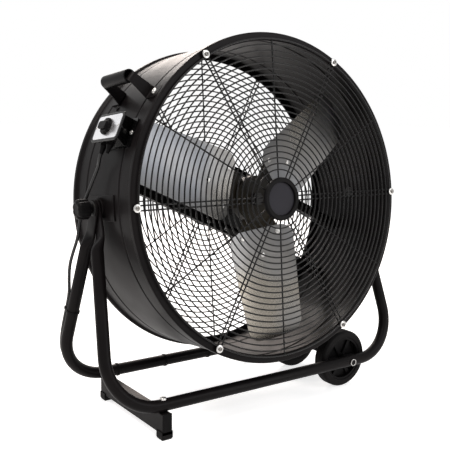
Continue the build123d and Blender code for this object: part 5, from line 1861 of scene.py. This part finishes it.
    def plug(self) -> Shape:
        """The moulded plug with its grip ribs and tapered relief.

        Returns:
            The plug's body.
        """
        low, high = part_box("mains_plug")
        middle_y = (low.y + high.y) / 2
        place = moved(low.x, middle_y, (low.z + high.z) / 2) @ turned(90, "Y")
        thick, wide = high.z - low.z, high.y - low.y
        rows = []
        for height, share, corner in self.plug_sections:
            rows.append([(x, y, height) for x, y in rectangle(thick * share, wide * share, corner, 5)])
        return skinned("plug_body", rows, place)

    def build(self, box: ControlBox) -> None:
        """Makes the lead, the cord, the plug and the ties and seats them.

        Args:
            box: the control box that the lead leaves.
        """
        self.lead(box)
        body = seat(evened(self.plug()), Body.STAND, JACKET, "mains_plug")
        pins = keep("plug_pins", "plug_blades", 0.0003, Body.STAND, BRASS)
        coil = self.coil_points()
        run_in = (coil[0][0] - self.run_in, coil[0][1], coil[0][2])
        cord = self.thickened(self.spline("mains_flex", [self.tie, *self.held, run_in, *coil]))
        dress(cord, JACKET)
        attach(cord, Body.STAND.value)
        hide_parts("mains_cord", "mains_coil")
        LOG.info("mains_flex rides on stand")
        keep("cable_ties", "tie_bands", 0.0004, Body.STAND, MOULDED)


# ---- studio ---------------------------------------------------------------------------------------
@dataclass(frozen=True)
class Studio:
    """The pale floor, soft lights and the camera."""

    camera_spot: Triple = (-0.9425, -1.2967, 0.6063)
    azimuth: float = -35.14
    elevation: float = -8.6
    roll: float = 0.77
    lens: float = 61.04
    shift: Pair = (-0.0061, 0.0077)
    floor_size: float = 60.0
    floor_colour: Triple = (0.93, 0.93, 0.93)
    floor_glow: float = 0.72
    sky_light: float = 0.36
    sensor: float = 36.0
    far: float = 200.0

    def camera(self) -> None:
        """Sets the camera at the photograph's place."""
        turn, pitch, roll = (math.radians(angle) for angle in (self.azimuth, self.elevation, self.roll))
        level = math.cos(pitch)
        ahead = Vector((-math.sin(turn) * level, math.cos(turn) * level, math.sin(pitch)))
        right = ahead.cross(Vector((0, 0, 1))).normalized()
        up = right.cross(ahead)
        side = right * math.cos(roll) + up * math.sin(roll)
        top = up * math.cos(roll) - right * math.sin(roll)
        data = bpy.data.cameras.new("camera")
        data.lens = self.lens
        data.sensor_width = self.sensor
        data.shift_x, data.shift_y = self.shift
        data.clip_end = self.far
        camera = linked("camera", data)
        facing = Matrix((side, top, -ahead)).transposed().to_4x4()
        camera.matrix_world = moved(*self.camera_spot) @ facing
        bpy.context.scene.camera = camera

    def lamp(self, name: str, spot: Triple, aim: Triple, size: Pair, power: float, tint: Triple) -> None:
        """Adds one soft rectangular light.

        Args:
            name: name of the light.
            spot: where it hangs.
            aim: the point it faces.
            size: its width and height.
            power: watts.
            tint: its colour.
        """
        data = bpy.data.lights.new(name, "AREA")
        data.shape = "RECTANGLE"
        data.size, data.size_y = size
        data.energy = power
        data.color = tint
        lamp = linked(name, data)
        lamp.visible_camera = False
        lamp.location = spot
        lamp.rotation_mode = "QUATERNION"
        lamp.rotation_quaternion = (Vector(aim) - Vector(spot)).to_track_quat("-Z", "Y")

    def background(self) -> None:
        """A white world to the eye that lights the object softly."""
        world = bpy.data.worlds.new("studio")
        world.use_nodes = True
        bpy.context.scene.world = world
        graph = Graph(world.node_tree)
        rays = graph.add("ShaderNodeLightPath").outputs
        seen = graph.worked("MAXIMUM", rays["Is Camera Ray"], rays["Is Transmission Ray"])
        mirrored = graph.worked("MAXIMUM", seen, rays["Is Glossy Ray"])
        strength = graph.add("ShaderNodeMapRange", {0: mirrored, 3: self.sky_light, 4: 1.0})
        sky = world.node_tree.nodes["Background"]
        sky.inputs["Color"].default_value = (1, 1, 1, 1)
        world.node_tree.links.new(strength.outputs[0], sky.inputs["Strength"])

    def floor(self) -> None:
        """A pale floor that keeps the object's shadow."""
        half = self.floor_size / 2
        mesh = bpy.data.meshes.new("studio_floor")
        corners = [(-half, -half, 0), (half, -half, 0), (half, half, 0), (-half, half, 0)]
        mesh.from_pydata(corners, [], [range(4)])
        ground = linked("studio_floor", mesh)
        made = bpy.data.materials.new("studio_floor")
        made.use_nodes = True
        graph = Graph(made.node_tree)
        nodes = made.node_tree.nodes
        matt = graph.add("ShaderNodeBsdfDiffuse", {"Color": (*self.floor_colour, 1.0)})
        rays = graph.add("ShaderNodeLightPath").outputs
        seen = graph.worked("MAXIMUM", rays["Is Camera Ray"], rays["Is Glossy Ray"])
        level = graph.worked("MULTIPLY", seen, self.floor_glow)
        glow = graph.add("ShaderNodeEmission", {"Color": (1, 1, 1, 1), "Strength": level})
        both = graph.add("ShaderNodeAddShader", {0: matt.outputs[0], 1: glow.outputs[0]})
        made.node_tree.links.new(both.outputs[0], nodes["Material Output"].inputs["Surface"])
        mesh.materials.append(made)

    def build(self) -> None:
        """Sets the camera, the lights, the world and the floor."""
        self.camera()
        self.background()
        self.floor()
        self.lamp("key", (-1.3, -0.6, 3.0), (0, 0, 0.4), (1.6, 1.6), 58.0, (1.0, 0.93, 0.88))
        self.lamp("fill", (1.5, -2.4, 1.7), (0, 0, 0.4), (1.2, 1.2), 17.0, (0.98, 0.98, 1.0))
        self.lamp("rim", (1.4, 2.5, 1.2), (0, 0, 0.4), (1.2, 1.2), 26.0, (1.0, 0.86, 0.78))
        self.lamp("strip", (1.6, -2.4, 0.35), (0, 0, 0.35), (0.4, 0.9), 9.0, (1.0, 0.97, 0.94))
        self.lamp("crown", (0.5, 2.1, 2.1), (-0.15, 0, 0.7), (0.7, 0.7), 32.0, (1.0, 0.92, 0.86))
        bpy.context.scene.view_settings.view_transform = "Standard"


# ---- whole fan ------------------------------------------------------------------------------------
def main() -> None:
    """Builds the fan's pieces in order."""
    wires, copies = turned_tree("turned_wires", True), turned_tree("turned_copies", False)
    trees = Trees(ring_tree(), wires, copies, seated_tree())
    box = ControlBox()
    Studio().build()
    MainsCord().build(box)
    DrumShell().build()
    WireGuard("outlet_guard", "front_grille", "front_screws", 0.128).build(trees, DRUM.front())
    WireGuard("inlet_guard", "rear_grille", "rear_screws", 0.119).build(trees, DRUM.rear())
    Badge().build()
    Motor().build(trees)
    Rotor().build(trees)
    Handle().build(trees)
    box.build(trees)
    Pivots().build()
    TubeFrame("front_tube", "front_frame", 1, 0.3278).build()
    TubeFrame("rear_tube", "rear_frame", -1, 0.3328).build()
    Footing().build(trees)
    Wheel("front", Body.FRONT_WHEEL, -0.082).build()
    Wheel("rear", Body.REAR_WHEEL, 0.082).build()
    axle_parts()


if __name__ == "__main__":
    logging.basicConfig(level=logging.INFO, format="%(message)s")
    main()
